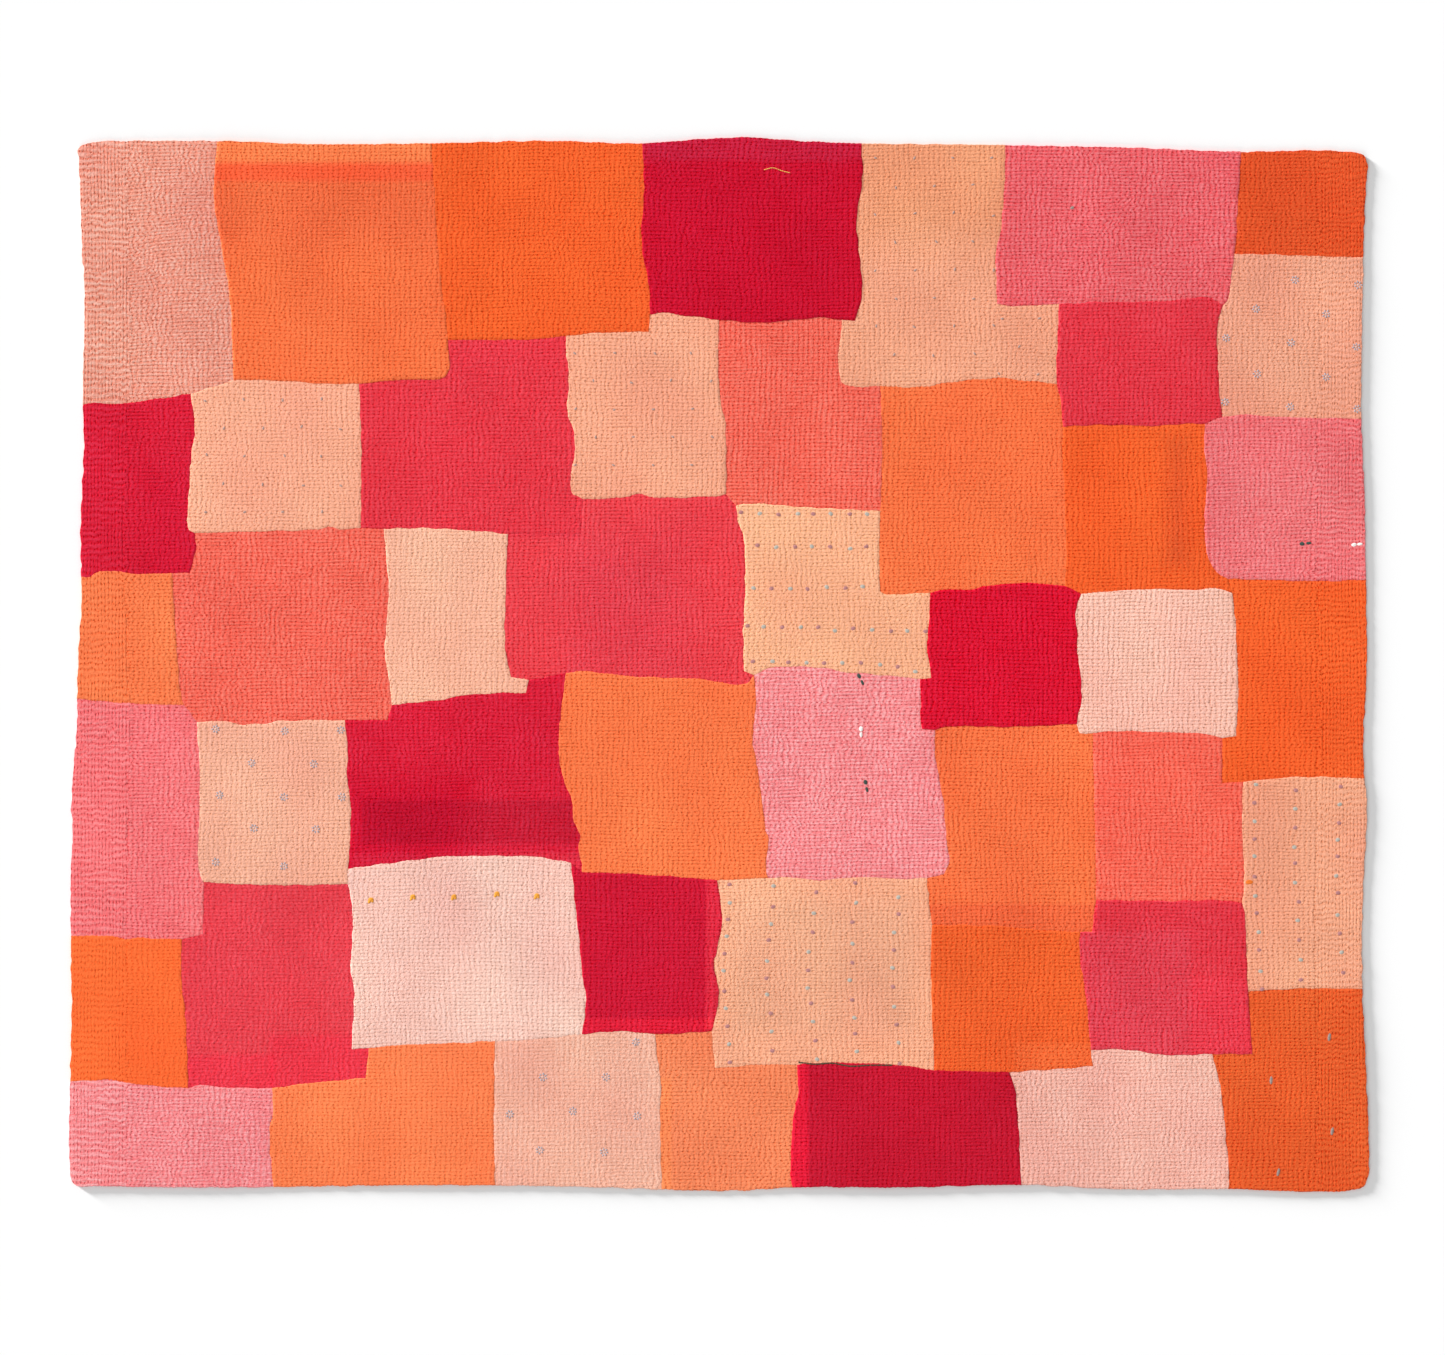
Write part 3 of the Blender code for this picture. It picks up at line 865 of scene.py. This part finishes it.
class Nodes:
    """A small helper for material nodes."""

    def __init__(self, name):
        self.material = bpy.data.materials.new(name)
        self.material.use_nodes = True
        self.tree = self.material.node_tree
        self.shader = self.tree.nodes["Principled BSDF"]

    def add(self, kind, **values):
        node = self.tree.nodes.new(kind)
        for key, value in values.items():
            setattr(node, key, value)
        return node

    def link(self, source, target):
        self.tree.links.new(source, target)

    def put(self, socket, value):
        """Set a socket, or link it if the value is a socket."""
        if isinstance(value, bpy.types.NodeSocket):
            self.link(value, socket)
        else:
            socket.default_value = value

    def math(self, operation, first, second=0.0, third=0.0):
        node = self.add("ShaderNodeMath", operation=operation)
        for socket, value in zip(node.inputs, (first, second, third)):
            self.put(socket, value)
        return node.outputs[0]

    def mix(self, share, first, second, blend="MIX"):
        node = self.add("ShaderNodeMix", data_type="RGBA", blend_type=blend)
        self.put(node.inputs["Factor"], share)
        self.put(node.inputs["A"], first)
        self.put(node.inputs["B"], second)
        return node.outputs["Result"]

    def shaded(self, colour, share):
        """The colour, lighter or darker."""
        node = self.add("ShaderNodeVectorMath", operation="SCALE")
        self.link(colour, node.inputs[0])
        self.link(share, node.inputs["Scale"])
        return node.outputs[0]

    def noise(self, vector, scale, detail=2.0, roughness=0.5):
        node = self.add("ShaderNodeTexNoise")
        self.link(vector, node.inputs["Vector"])
        node.inputs["Scale"].default_value = scale
        node.inputs["Detail"].default_value = detail
        node.inputs["Roughness"].default_value = roughness
        return node.outputs["Fac"]

    def stretched(self, vector, scale):
        node = self.add("ShaderNodeMapping")
        self.link(vector, node.inputs["Vector"])
        node.inputs["Scale"].default_value = scale
        return node.outputs["Vector"]

    def wave(self, phase, sharpness):
        """1 at each whole phase and 0 halfway between; a sharper wave is narrower at 1."""
        swing = self.math("COSINE", self.math("MULTIPLY", phase, 2 * math.pi))
        return self.math("POWER", self.math("MULTIPLY_ADD", swing, 0.5, 0.5), sharpness)

    def range(self, value, low, high, to_low=0.0, to_high=1.0, smooth=True):
        node = self.add("ShaderNodeMapRange")
        node.interpolation_type = "SMOOTHSTEP" if smooth else "LINEAR"
        for socket, number in zip(node.inputs, (value, low, high, to_low, to_high)):
            self.put(socket, number)
        return node.outputs["Result"]


def dyed(colour, dye):
    """Linear colours, rows of red, green and blue, made deeper for dyed thread and painted shade, and
    paler for wear and painted highlight.
    """
    red_share, share, power = dye
    red, green, blue = np.array(colour).T[:3]
    return np.stack([red_share * red, share * green ** power, share * blue ** power], axis=-1)


def scaled(colour, share):
    """A linear colour, lighter or darker."""
    return (*[c * share for c in colour[:3]], 1.0)


def cloth_material(name, code, worn):
    """Hand-loomed cotton, drawn in by running stitch, with painted shade in its hollows and its
    ripples' crests paler from wear and painted highlight.
    """
    n = Nodes(name)
    colour = srgb(code)
    # pale is the colour of the crests, paler from wear and painted highlight
    pale = (*dyed(colour, (WORN_SHEEN_REDNESS, 1.0, 1 - worn)).tolist(), 1.0)
    # deep is the cloth's colour in painted shade, for the hollows
    deep = (*dyed(colour, HOLLOW_SHADE_TONE).tolist(), 1.0)
    place = n.add("ShaderNodeTexCoord").outputs["Object"]
    phase = n.add("ShaderNodeSeparateXYZ")
    n.link(n.add("ShaderNodeAttribute", attribute_name="stitching").outputs["Vector"], phase.inputs[0])
    unsteady = n.noise(place, 170, 1.0)
    along = n.math("ADD", phase.outputs[0], n.math("MULTIPLY_ADD", unsteady, 0.3, -0.15))
    across = n.math("ADD", phase.outputs[1], n.math("MULTIPLY_ADD", unsteady, -0.4, 0.2))
    stitch_number, row_number = n.math("ROUND", along), n.math("ROUND", across)
    cell = n.add("ShaderNodeCombineXYZ")
    n.link(stitch_number, cell.inputs["X"])
    n.link(row_number, cell.inputs["Y"])
    chance = n.add("ShaderNodeTexWhiteNoise", noise_dimensions="2D")
    n.link(cell.outputs[0], chance.inputs["Vector"])
    dice = n.add("ShaderNodeSeparateXYZ")
    n.link(chance.outputs["Color"], dice.inputs[0])

    def miss(value, nearest, die, shake):
        """How far a phase is from its nearest stitch, which strays by a share of a cycle."""
        straying = n.math("MULTIPLY_ADD", die, shake, -shake / 2)
        return n.math("SUBTRACT", n.math("SUBTRACT", value, nearest), straying)

    beside = n.math("DIVIDE", miss(along, stitch_number, dice.outputs[0], 0.36), PIT_LENGTH)
    above = n.math("DIVIDE", miss(across, row_number, dice.outputs[1], 0.40), PIT_WIDTH)
    reach = n.math("ADD", n.math("MULTIPLY", beside, beside), n.math("MULTIPLY", above, above))
    depth = n.math("MULTIPLY_ADD", dice.outputs[2], 0.9, 0.4)
    pit = n.math("MULTIPLY", n.math("MAXIMUM", n.math("SUBTRACT", 1.0, reach), 0.0), depth)

    def uneven(wave, along_scale, across_scale):
        """A wave that is deeper in some columns or rows than in others."""
        place = n.add("ShaderNodeCombineXYZ")
        n.link(n.math("MULTIPLY", along, along_scale), place.inputs["X"])
        n.link(n.math("MULTIPLY", across, across_scale), place.inputs["Y"])
        chosen = n.noise(place.outputs[0], 1.0, 1.0)
        return n.math("MULTIPLY", wave, n.range(chosen, 0.30, 0.70, 0.25, 1.75, smooth=False))

    furrow = uneven(n.wave(along, 3.0), 0.9, 0.12)
    groove = uneven(n.wave(across, 2.0), 0.12, 0.7)

    weft = n.noise(n.stretched(place, (0.12, 1.0, 1.0)), 900, 2.0)
    warp = n.noise(n.stretched(place, (1.0, 0.12, 1.0)), 1000, 2.0)
    slub = n.noise(n.stretched(place, (0.16, 1.0, 1.0)), 420, 3.0)
    cloud = n.noise(place, 9, 4.0)
    grain = n.noise(place, 260, 3.0, 0.6)

    ridge_share = phase.outputs[2]
    row_share = n.math("SUBTRACT", 1.0, ridge_share)
    furrow = n.math("MULTIPLY", furrow, ridge_share)
    groove = n.math("MULTIPLY", groove, row_share)
    crest = n.math("MULTIPLY", ridge_share, n.wave(n.math("ADD", along, 0.5), 1.0))
    between = n.math("MULTIPLY", n.wave(n.math("ADD", across, 0.5), 1.0), 0.6)
    crest = n.math("MULTIPLY_ADD", row_share, between, crest)
    # The crests turn towards the paler colour: wear, and painted highlight
    worn_sheen_share = n.math("MULTIPLY", n.math("MULTIPLY", crest, 1.5), n.range(slub, 0.34, 0.64))
    base = n.mix(worn_sheen_share, colour, pale)
    tint = n.add("ShaderNodeAttribute", attribute_name="tint")
    # Painted shade: the pits, furrows and grooves darken the cloth towards its colour in shade
    hollow_shade = n.math("MULTIPLY_ADD", pit, PIT_SHADE, n.math("MULTIPLY", furrow, FURROW_SHADE))
    hollow_shade = n.math("MULTIPLY_ADD", groove, GROOVE_SHADE, hollow_shade)
    hollow_shade = n.math("MULTIPLY", hollow_shade, tint.outputs["Alpha"])
    base = n.mix(hollow_shade, base, deep)
    base = n.mix(1.0, base, tint.outputs["Color"], "MULTIPLY")
    shade = n.range(cloud, 0.3, 0.7, 0.96, 1.04, smooth=False)
    shade = n.math("MULTIPLY", shade, n.range(grain, 0.3, 0.7, 0.88, 1.11, smooth=False))
    n.link(n.shaded(base, shade), n.shader.inputs["Base Color"])

    weave = n.math("ADD", weft, warp)
    relief = n.math("MULTIPLY_ADD", weave, 0.15, n.math("MULTIPLY", grain, 0.9))
    sunk = n.math("MULTIPLY_ADD", groove, GROOVE_SINK, n.math("MULTIPLY", furrow, FURROW_SINK))
    sunk = n.math("MULTIPLY_ADD", pit, PIT_SINK, sunk)
    relief = n.math("SUBTRACT", relief, n.math("MULTIPLY", sunk, tint.outputs["Alpha"]))
    bump = n.add("ShaderNodeBump")
    bump.inputs["Strength"].default_value = RELIEF_STRENGTH
    bump.inputs["Distance"].default_value = RELIEF_DEPTH
    n.link(relief, bump.inputs["Height"])
    n.link(bump.outputs[0], n.shader.inputs["Normal"])
    n.shader.inputs["Roughness"].default_value = 0.95
    n.shader.inputs["Specular IOR Level"].default_value = 0.0
    return n.material


def thread_material():
    """Twisted cotton thread, dyed with the cloth that it is sewn through."""
    n = Nodes("thread")
    place = n.add("ShaderNodeTexCoord").outputs["Object"]
    dye = n.add("ShaderNodeAttribute", attribute_name="dye").outputs["Color"]
    patchy = n.range(n.noise(place, 300, 2.0), 0.3, 0.7, 0.85, 1.12)
    n.link(n.shaded(dye, patchy), n.shader.inputs["Base Color"])
    n.shader.inputs["Roughness"].default_value = 0.95
    n.shader.inputs["Specular IOR Level"].default_value = 0.0
    return n.material


def motif_material(name, code):
    """Coloured cotton floss."""
    n = Nodes(name)
    colour = srgb(code)
    place = n.add("ShaderNodeTexCoord").outputs["Object"]
    strands = n.range(n.noise(n.stretched(place, (0.3, 1.0, 1.0)), 900, 2.0), 0.3, 0.7)
    n.link(n.mix(strands, scaled(colour, 0.78), scaled(colour, 1.1)), n.shader.inputs["Base Color"])
    n.shader.inputs["Roughness"].default_value = 0.85
    n.shader.inputs["Specular IOR Level"].default_value = 0.2
    return n.material


def tint_values(number, cloth, x, y):
    """How a patch's colour departs from its cloth's own at some points, and its firmness."""
    drift = noise(x, y, 0.16, 61) + 0.8 * noise(x + 0.31 * number, y, 0.55, 62)
    tint = np.stack([1 + 0.012 * drift, 1 + 0.045 * drift, 1 + 0.040 * drift], axis=1)
    own = np.array(srgb(CLOTHS[cloth][0])[:3])
    for patch, left, top, right, bottom, change, code in TINTS:
        if patch == number:
            (x0, y0), (x1, y1) = chart(left, bottom), chart(right, top)
            inward = np.minimum(np.minimum(x - x0, x1 - x), np.minimum(y - y0, y1 - y))
            share = np.clip(inward / (change * SQUARE) + 0.5, 0, 1)[:, None]
            goal = np.array(srgb(code)[:3]) / own
            tint = tint * (1 - share + share * goal)
    turn = np.exp(-(band_depth(x, y) / BAND_OVERLAP) ** 2)
    return np.column_stack([tint, FIRMNESS.get(number, 1.0) * (1 + 0.5 * turn)])


def dress(obj):
    """What every piece of the quilt has: its body."""
    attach(obj, "root")


def add_colours(obj, name, colours):
    """Store a colour for each of the object's points."""
    attribute = obj.data.attributes.new(name, "FLOAT_COLOR", "POINT")
    attribute.data.foreach_set("color", colours.astype(np.float32).ravel())


def make_patches(materials):
    """All the patches: (rim, cloth, layer, object) of each."""
    patches = []
    for number, (cloth, layer, loop) in enumerate(PATCHES, 1):
        rim, points, triangles, edge_shade = patch_mesh(layer, loop)
        obj = new_object(f"patch_{number:02d}", points, triangles, materials[cloth])
        add_stitching(obj, points, triangles)
        tint = tint_values(number, cloth, points[:, 0], points[:, 1])
        # Painted shade on the outer edge's rings, multiplied into the tint
        tint[:, :3] *= edge_shade[:, None]
        add_colours(obj, "tint", tint)
        dress(obj)
        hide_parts("quilt")
        patches.append((rim, cloth, layer, obj))
    return patches


def make_backing(material):
    """The quilt's back: one plain cloth, flat below, its edge folded up inside the patches."""
    normals = outward(OUTLINE)
    rings = [
        np.column_stack([OUTLINE - normals * inset, np.full(len(OUTLINE), z)])
        for inset, z in np.array(BACKING_RINGS) * MM
    ]
    coarse = OUTLINE[::4]
    grid = np.stack(np.meshgrid(
        np.arange(LOW[0], HIGH[0], BACKING_GRID), np.arange(LOW[1], HIGH[1], BACKING_GRID)
    ), axis=-1).reshape(-1, 2)
    grid = grid[inside(grid, coarse)]
    grid = grid[clear_of(grid, coarse, BACKING_CLEARANCE)]
    count = len(OUTLINE)
    middle = np.column_stack([grid, np.full(len(grid), BACKING_LEVEL)])
    points = np.vstack([rings[0], middle, rings[1], rings[2]])
    triangles = np.vstack([
        fill(rings[0][:, :2], grid),
        strip(0, count + len(grid), count),
        strip(count + len(grid), 2 * count + len(grid), count),
    ])[:, ::-1]
    obj = new_object("backing", points, triangles, material)
    add_stitching(obj, points, triangles)
    add_colours(obj, "tint", tint_values(0, BACKING_CLOTH, points[:, 0], points[:, 1]))
    dress(obj)
    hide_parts("quilt")
    return obj


def stitch_centres():
    """Every running stitch: its middle and its direction."""
    reach_x, reach_y = 0.52 * (HIGH - LOW)[:2]
    runs = []
    for in_band in (False, True):
        cycle = RIGHT_BAND_CYCLE if in_band else STITCH_CYCLE
        reach_along, reach_across = (reach_y, reach_x) if in_band else (reach_x, reach_y)
        s, r = np.meshgrid(
            np.arange(-math.ceil(reach_along / cycle), reach_along / cycle),
            np.arange(-math.ceil(reach_across / ROW_PITCH), reach_across / ROW_PITCH),
        )
        x, y = stitch_places(s.ravel(), r.ravel(), in_band)
        depth = band_depth(x, y)
        keep = depth > -BAND_OVERLAP if in_band else depth < BAND_OVERLAP
        places = np.stack([x, y], axis=1)[keep]
        direction = np.tile((0.0, 1.0) if in_band else (1.0, 0.0), (len(places), 1))
        runs.append(np.column_stack([places, direction]))
    return np.vstack(runs)


def within(patches, points):
    """For each point, the patch below it, or -1."""
    found = np.full(len(points), -1)
    for number, (rim, *_) in enumerate(patches):
        low, high = rim.min(axis=0), rim.max(axis=0)
        near = np.flatnonzero(((points > low) & (points < high)).all(axis=1))
        found[near[inside(points[near], rim)]] = number
    return found


def make_stitches(patches):
    """The running stitch, a short raised bead of thread for each stitch."""
    rng = np.random.default_rng(71)
    runs = stitch_centres()
    rim = OUTLINE[::2] - outward(OUTLINE[::2]) * EDGE_CLEARANCE
    chunks = np.array_split(np.arange(len(runs)), 24)
    runs = runs[np.concatenate([chunk[inside(runs[chunk, :2], rim)] for chunk in chunks])]
    runs = runs[rng.random(len(runs)) > MISSED_STITCHES]
    patch = within(patches, runs[:, :2])
    runs, patch = runs[patch >= 0], patch[patch >= 0]
    layers = np.array([layer for _, _, layer, _ in patches])[patch]
    cloths = np.array([srgb(CLOTHS[cloth][0])[:3] for _, cloth, _, _ in patches])
    dyes = dyed(cloths[patch], THREAD_DYE) * rng.uniform(0.85, 1.1, (len(runs), 1))
    count = len(runs)
    centre = runs[:, :2] + rng.normal(0, STITCH_SCATTER, (count, 2))
    slant = rng.normal(0, STITCH_SLANT, count)
    run = np.stack([
        runs[:, 2] * np.cos(slant) - runs[:, 3] * np.sin(slant),
        runs[:, 2] * np.sin(slant) + runs[:, 3] * np.cos(slant),
    ], axis=1)
    side = np.stack([-run[:, 1], run[:, 0]], axis=1)
    half = STITCH_LENGTH / 2 * rng.uniform(0.70, 1.15, count)[:, None]
    wide = STITCH_WIDTH / 2 * rng.uniform(0.75, 1.15, count)[:, None]
    level = body_height(centre[:, 0], centre[:, 1]) + layers * LAYER_STEP
    corners = [
        (centre - run * half, -0.10 * MM),
        (centre + run * half, -0.10 * MM),
        (centre - side * wide, -STITCH_SINK),
        (centre + side * wide, -STITCH_SINK),
        (centre, STITCH_RISE - 0.1 * MM),
    ]
    points = np.stack([np.column_stack([p, level + z]) for p, z in corners], axis=1)
    faces = np.array([(0, 2, 4), (0, 4, 3), (1, 4, 2), (1, 3, 4)])
    material = thread_material()
    order = np.argsort(centre[:, 0])
    for number, chunk in enumerate(np.array_split(order, 3), 1):
        beads = points[chunk].reshape(-1, 3)
        triangles = (faces[None] + 5 * np.arange(len(chunk))[:, None, None]).reshape(-1, 3)
        obj = new_object(f"stitches_{number}", beads, triangles, material)
        opaque = np.column_stack([dyes[chunk], np.ones(len(chunk))])
        add_colours(obj, "dye", np.repeat(opaque, 5, axis=0))
        dress(obj)


class Embroidery:
    """Small raised shapes of one colour, joined into one mesh as they are added."""

    def __init__(self, name, code, patches):
        self.name, self.code, self.patches = name, code, patches
        self.points, self.triangles, self.count = [], [], 0

    def surface(self, x, y):
        """The crests' height at one place."""
        at = np.array([[x, y]])
        number = within(self.patches, at)[0]
        layer = self.patches[number][2] if number >= 0 else 0
        return float(body_height(x, y)) + layer * LAYER_STEP + PUCKER_HEIGHT

    def add(self, middle, rim, height):
        """A low cushion over a closed rim of points, given around its middle."""
        z = self.surface(*middle)
        ring = [(middle[0] + x, middle[1] + y, z - 0.5 * PUCKER_HEIGHT) for x, y in rim]
        top = [(middle[0] + 0.7 * x, middle[1] + 0.7 * y, z + 0.6 * height) for x, y in rim]
        first, count = self.count, len(rim)
        self.points += [*ring, *top, (*middle, z + height)]
        for i in range(count):
            j = (i + 1) % count
            self.triangles += [
                (first + i, first + j, first + count + j),
                (first + i, first + count + j, first + count + i),
                (first + count + i, first + count + j, first + 2 * count),
            ]
        self.count += 2 * count + 1

    def oval(self, middle, length, width, angle=0.0, height=0.16 * MM, sides=10):
        """A cushion, its long side turned from the X axis by the angle."""
        rim = []
        for k in range(sides):
            turn = 2 * math.pi * k / sides
            x, y = length / 2 * math.cos(turn), width / 2 * math.sin(turn)
            rim.append((
                x * math.cos(angle) - y * math.sin(angle),
                x * math.sin(angle) + y * math.cos(angle),
            ))
        self.add(middle, rim, height)

    def thread(self, line, width):
        """A thin thread laid along a line."""
        for start, end in zip(line, line[1:]):
            run = end - start
            self.oval(
                (start + end) / 2, 1.3 * np.linalg.norm(run), width,
                math.atan2(run[1], run[0]), sides=6,
            )

    def finish(self):
        points, triangles = np.array(self.points), np.array(self.triangles)
        dress(new_object(self.name, points, triangles, motif_material(self.name, self.code)))


def make_flowers(patches, rng):
    """Small woven flowers: a ring of petals around a paler eye."""
    petals = Embroidery("petals", "B0A5AC", patches)
    eyes = Embroidery("flower_eyes", "D9B4A8", patches)
    for across, down in FLOWERS:
        middle = chart(across, down)
        spin = rng.uniform(0, math.pi)
        for k in range(PETAL_COUNT):
            turn = spin + 2 * math.pi * k / PETAL_COUNT
            reach = PETAL_REACH * rng.uniform(0.9, 1.1)
            place = middle + reach * np.array([math.cos(turn), math.sin(turn)])
            petals.oval(place, 4.6 * MM, 3.0 * MM, turn, sides=6)
        eyes.oval(middle, 4.4 * MM, 4.0 * MM, height=0.12 * MM, sides=8)
    petals.finish()
    eyes.finish()


def make_dots(patches, rng):
    """Lines of woven dots, mauve and pale in turn, and faint flecks."""
    mauve = Embroidery("mauve_dots", "B97F7E", patches)
    pale = Embroidery("pale_dots", "B9B3A8", patches)
    for x0, y0, x1, y1, starts_mauve in DOT_LINES:
        count = round(math.hypot(x1 - x0, y1 - y0) / DOT_PITCH) + 1
        for k in range(count):
            share = k / (count - 1)
            shake = rng.normal(0, 0.8, 2)
            place = chart(x0 + share * (x1 - x0) + shake[0], y0 + share * (y1 - y0) + shake[1])
            dots = mauve if (k % 2 == 0) == starts_mauve else pale
            dots.oval(place, 8.4 * MM, 6.8 * MM, rng.uniform(-0.6, 0.6), 0.12 * MM, sides=8)
    mauve.finish()
    pale.finish()
    flecks = Embroidery("flecks", "B4958C", patches)
    for left, top, right, bottom in FLECKED:
        rows = np.arange(top, bottom, FLECK_SPACING[1])
        for number, down in enumerate(rows):
            start = left + (number % 2) * FLECK_SPACING[0] / 2
            for across in np.arange(start, right, FLECK_SPACING[0]):
                place = chart(across, down) + rng.normal(0, 1.5 * MM, 2)
                flecks.oval(place, 6.5 * MM, 3.6 * MM, rng.uniform(0, 3), 0.2 * MM, sides=6)
    flecks.finish()


def make_sprigs(patches, rng):
    """The larger motifs: yellow sprigs, grey leaves, darned places and loose threads."""
    sprigs = Embroidery("yellow_sprigs", "F0A03A", patches)
    for across, down in SPRIGS:
        middle = chart(across, down)
        for shift, length, width, angle in (
            ((0.0, 0.8), 9.5, 8.0, 0.3), ((-2.6, -2.8), 6.5, 5.0, 1.1), ((2.4, -1.6), 5.5, 4.6, 2.3)
        ):
            angle = angle + rng.uniform(-0.3, 0.3)
            place = middle + np.array(shift) * MM
            sprigs.oval(place, length * MM, width * MM, angle, 0.3 * MM)
    sprigs.finish()
    leaves = Embroidery("grey_leaves", "9C8B84", patches)
    for across, down in LEAVES:
        leaves.oval(chart(across, down), 14 * MM, 5.5 * MM, 1.45 + rng.uniform(-0.1, 0.1))
    leaves.oval(chart(1002, 70), 7 * MM, 5 * MM, 0.5)
    leaves.finish()
    for name, code, darns in (
        ("green_darns", "41504A", GREEN_DARNS), ("white_darns", "FBF3EE", WHITE_DARNS)
    ):
        work = Embroidery(name, code, patches)
        for x0, y0, x1, y1 in darns:
            start, end = chart(x0, y0), chart(x1, y1)
            angle = math.atan2(end[1] - start[1], end[0] - start[0])
            for share, width in ((0.2, 6.5), (0.85, 5.0)):
                work.oval(start + share * (end - start), 9.5 * MM, width * MM, angle)
        work.finish()
    olive = Embroidery("olive_thread", "4C4433", patches)
    olive.thread(curve([chart(*p) for p in OLIVE_THREAD])[::2], 3.0 * MM)
    olive.finish()
    yellow = Embroidery("loose_thread", "E9B45C", patches)
    yellow.thread(curve([chart(*p) for p in YELLOW_THREAD])[::3], 1.5 * MM)
    yellow.finish()
    scrap = Embroidery("orange_scrap", "F07A2C", patches)
    scrap.oval(chart(1179, 744), 13 * MM, 8 * MM)
    scrap.finish()


def make_stage():
    """A pale floor, a window on either side of the quilt's left, and soft light all round."""
    scene = bpy.context.scene
    scene.view_settings.view_transform = "Standard"
    bpy.ops.mesh.primitive_plane_add(size=FLOOR_SIZE, location=(0, 0, 0))
    floor = bpy.context.object
    floor.name = "floor"
    n = Nodes("floor")
    n.shader.inputs["Base Color"].default_value = (FLOOR_SHADE, FLOOR_SHADE, FLOOR_SHADE, 1)
    n.shader.inputs["Roughness"].default_value = 1.0
    n.shader.inputs["Specular IOR Level"].default_value = 0.0
    floor.data.materials.append(n.material)

    world = bpy.data.worlds.new("studio")
    world.use_nodes = True
    background = world.node_tree.nodes["Background"]
    background.inputs["Color"].default_value = (1, 1, 1, 1)
    background.inputs["Strength"].default_value = ROOM_LIGHT
    scene.world = world
    add_sun("upper_window", 12.65, (-1.25, 0.85), elevation=6.2, spread=9)
    add_sun("lower_window", 1.36, (-0.35, -1.0), elevation=16, spread=24)


def add_sun(name, energy, towards, elevation, spread):
    """Soft parallel light from a side of the floor, at an elevation in degrees."""
    lamp = bpy.data.lights.new(name, "SUN")
    lamp.energy = energy
    lamp.angle = math.radians(spread)
    obj = bpy.data.objects.new(name, lamp)
    rise = math.hypot(*towards) * math.tan(math.radians(elevation))
    towards = Vector((*towards, rise))
    obj.rotation_euler = towards.to_track_quat("Z", "Y").to_euler()
    obj.location = towards * 3
    bpy.context.scene.collection.objects.link(obj)


def make_camera():
    """A long lens straight above, aimed a little off the quilt's middle, as it was framed."""
    middle = (LOW + HIGH) / 2
    across = (PICTURE_ACROSS / 2 - LEFT_MARGIN - CHART_ACROSS / 2) * SQUARE
    down = (PICTURE_DOWN / 2 - TOP_MARGIN) * SQUARE - (HIGH - LOW)[1] / 2
    camera = bpy.data.cameras.new("camera")
    camera.sensor_fit = "HORIZONTAL"
    camera.lens = camera.sensor_width * CAMERA_DISTANCE / (PICTURE_ACROSS * SQUARE)
    camera.clip_end = 100
    obj = bpy.data.objects.new("camera", camera)
    obj.location = (middle[0] + across, middle[1] - down, CAMERA_DISTANCE)
    bpy.context.scene.collection.objects.link(obj)
    bpy.context.scene.camera = obj


make_stage()
make_camera()
materials = {
    name: cloth_material(name.replace(" ", "_"), code, worn)
    for name, (code, worn) in CLOTHS.items()
}
backing = make_backing(materials[BACKING_CLOTH])
patches = make_patches(materials)
make_stitches(patches)
motif_rng = np.random.default_rng(81)
make_flowers(patches, motif_rng)
make_dots(patches, motif_rng)
make_sprigs(patches, motif_rng)
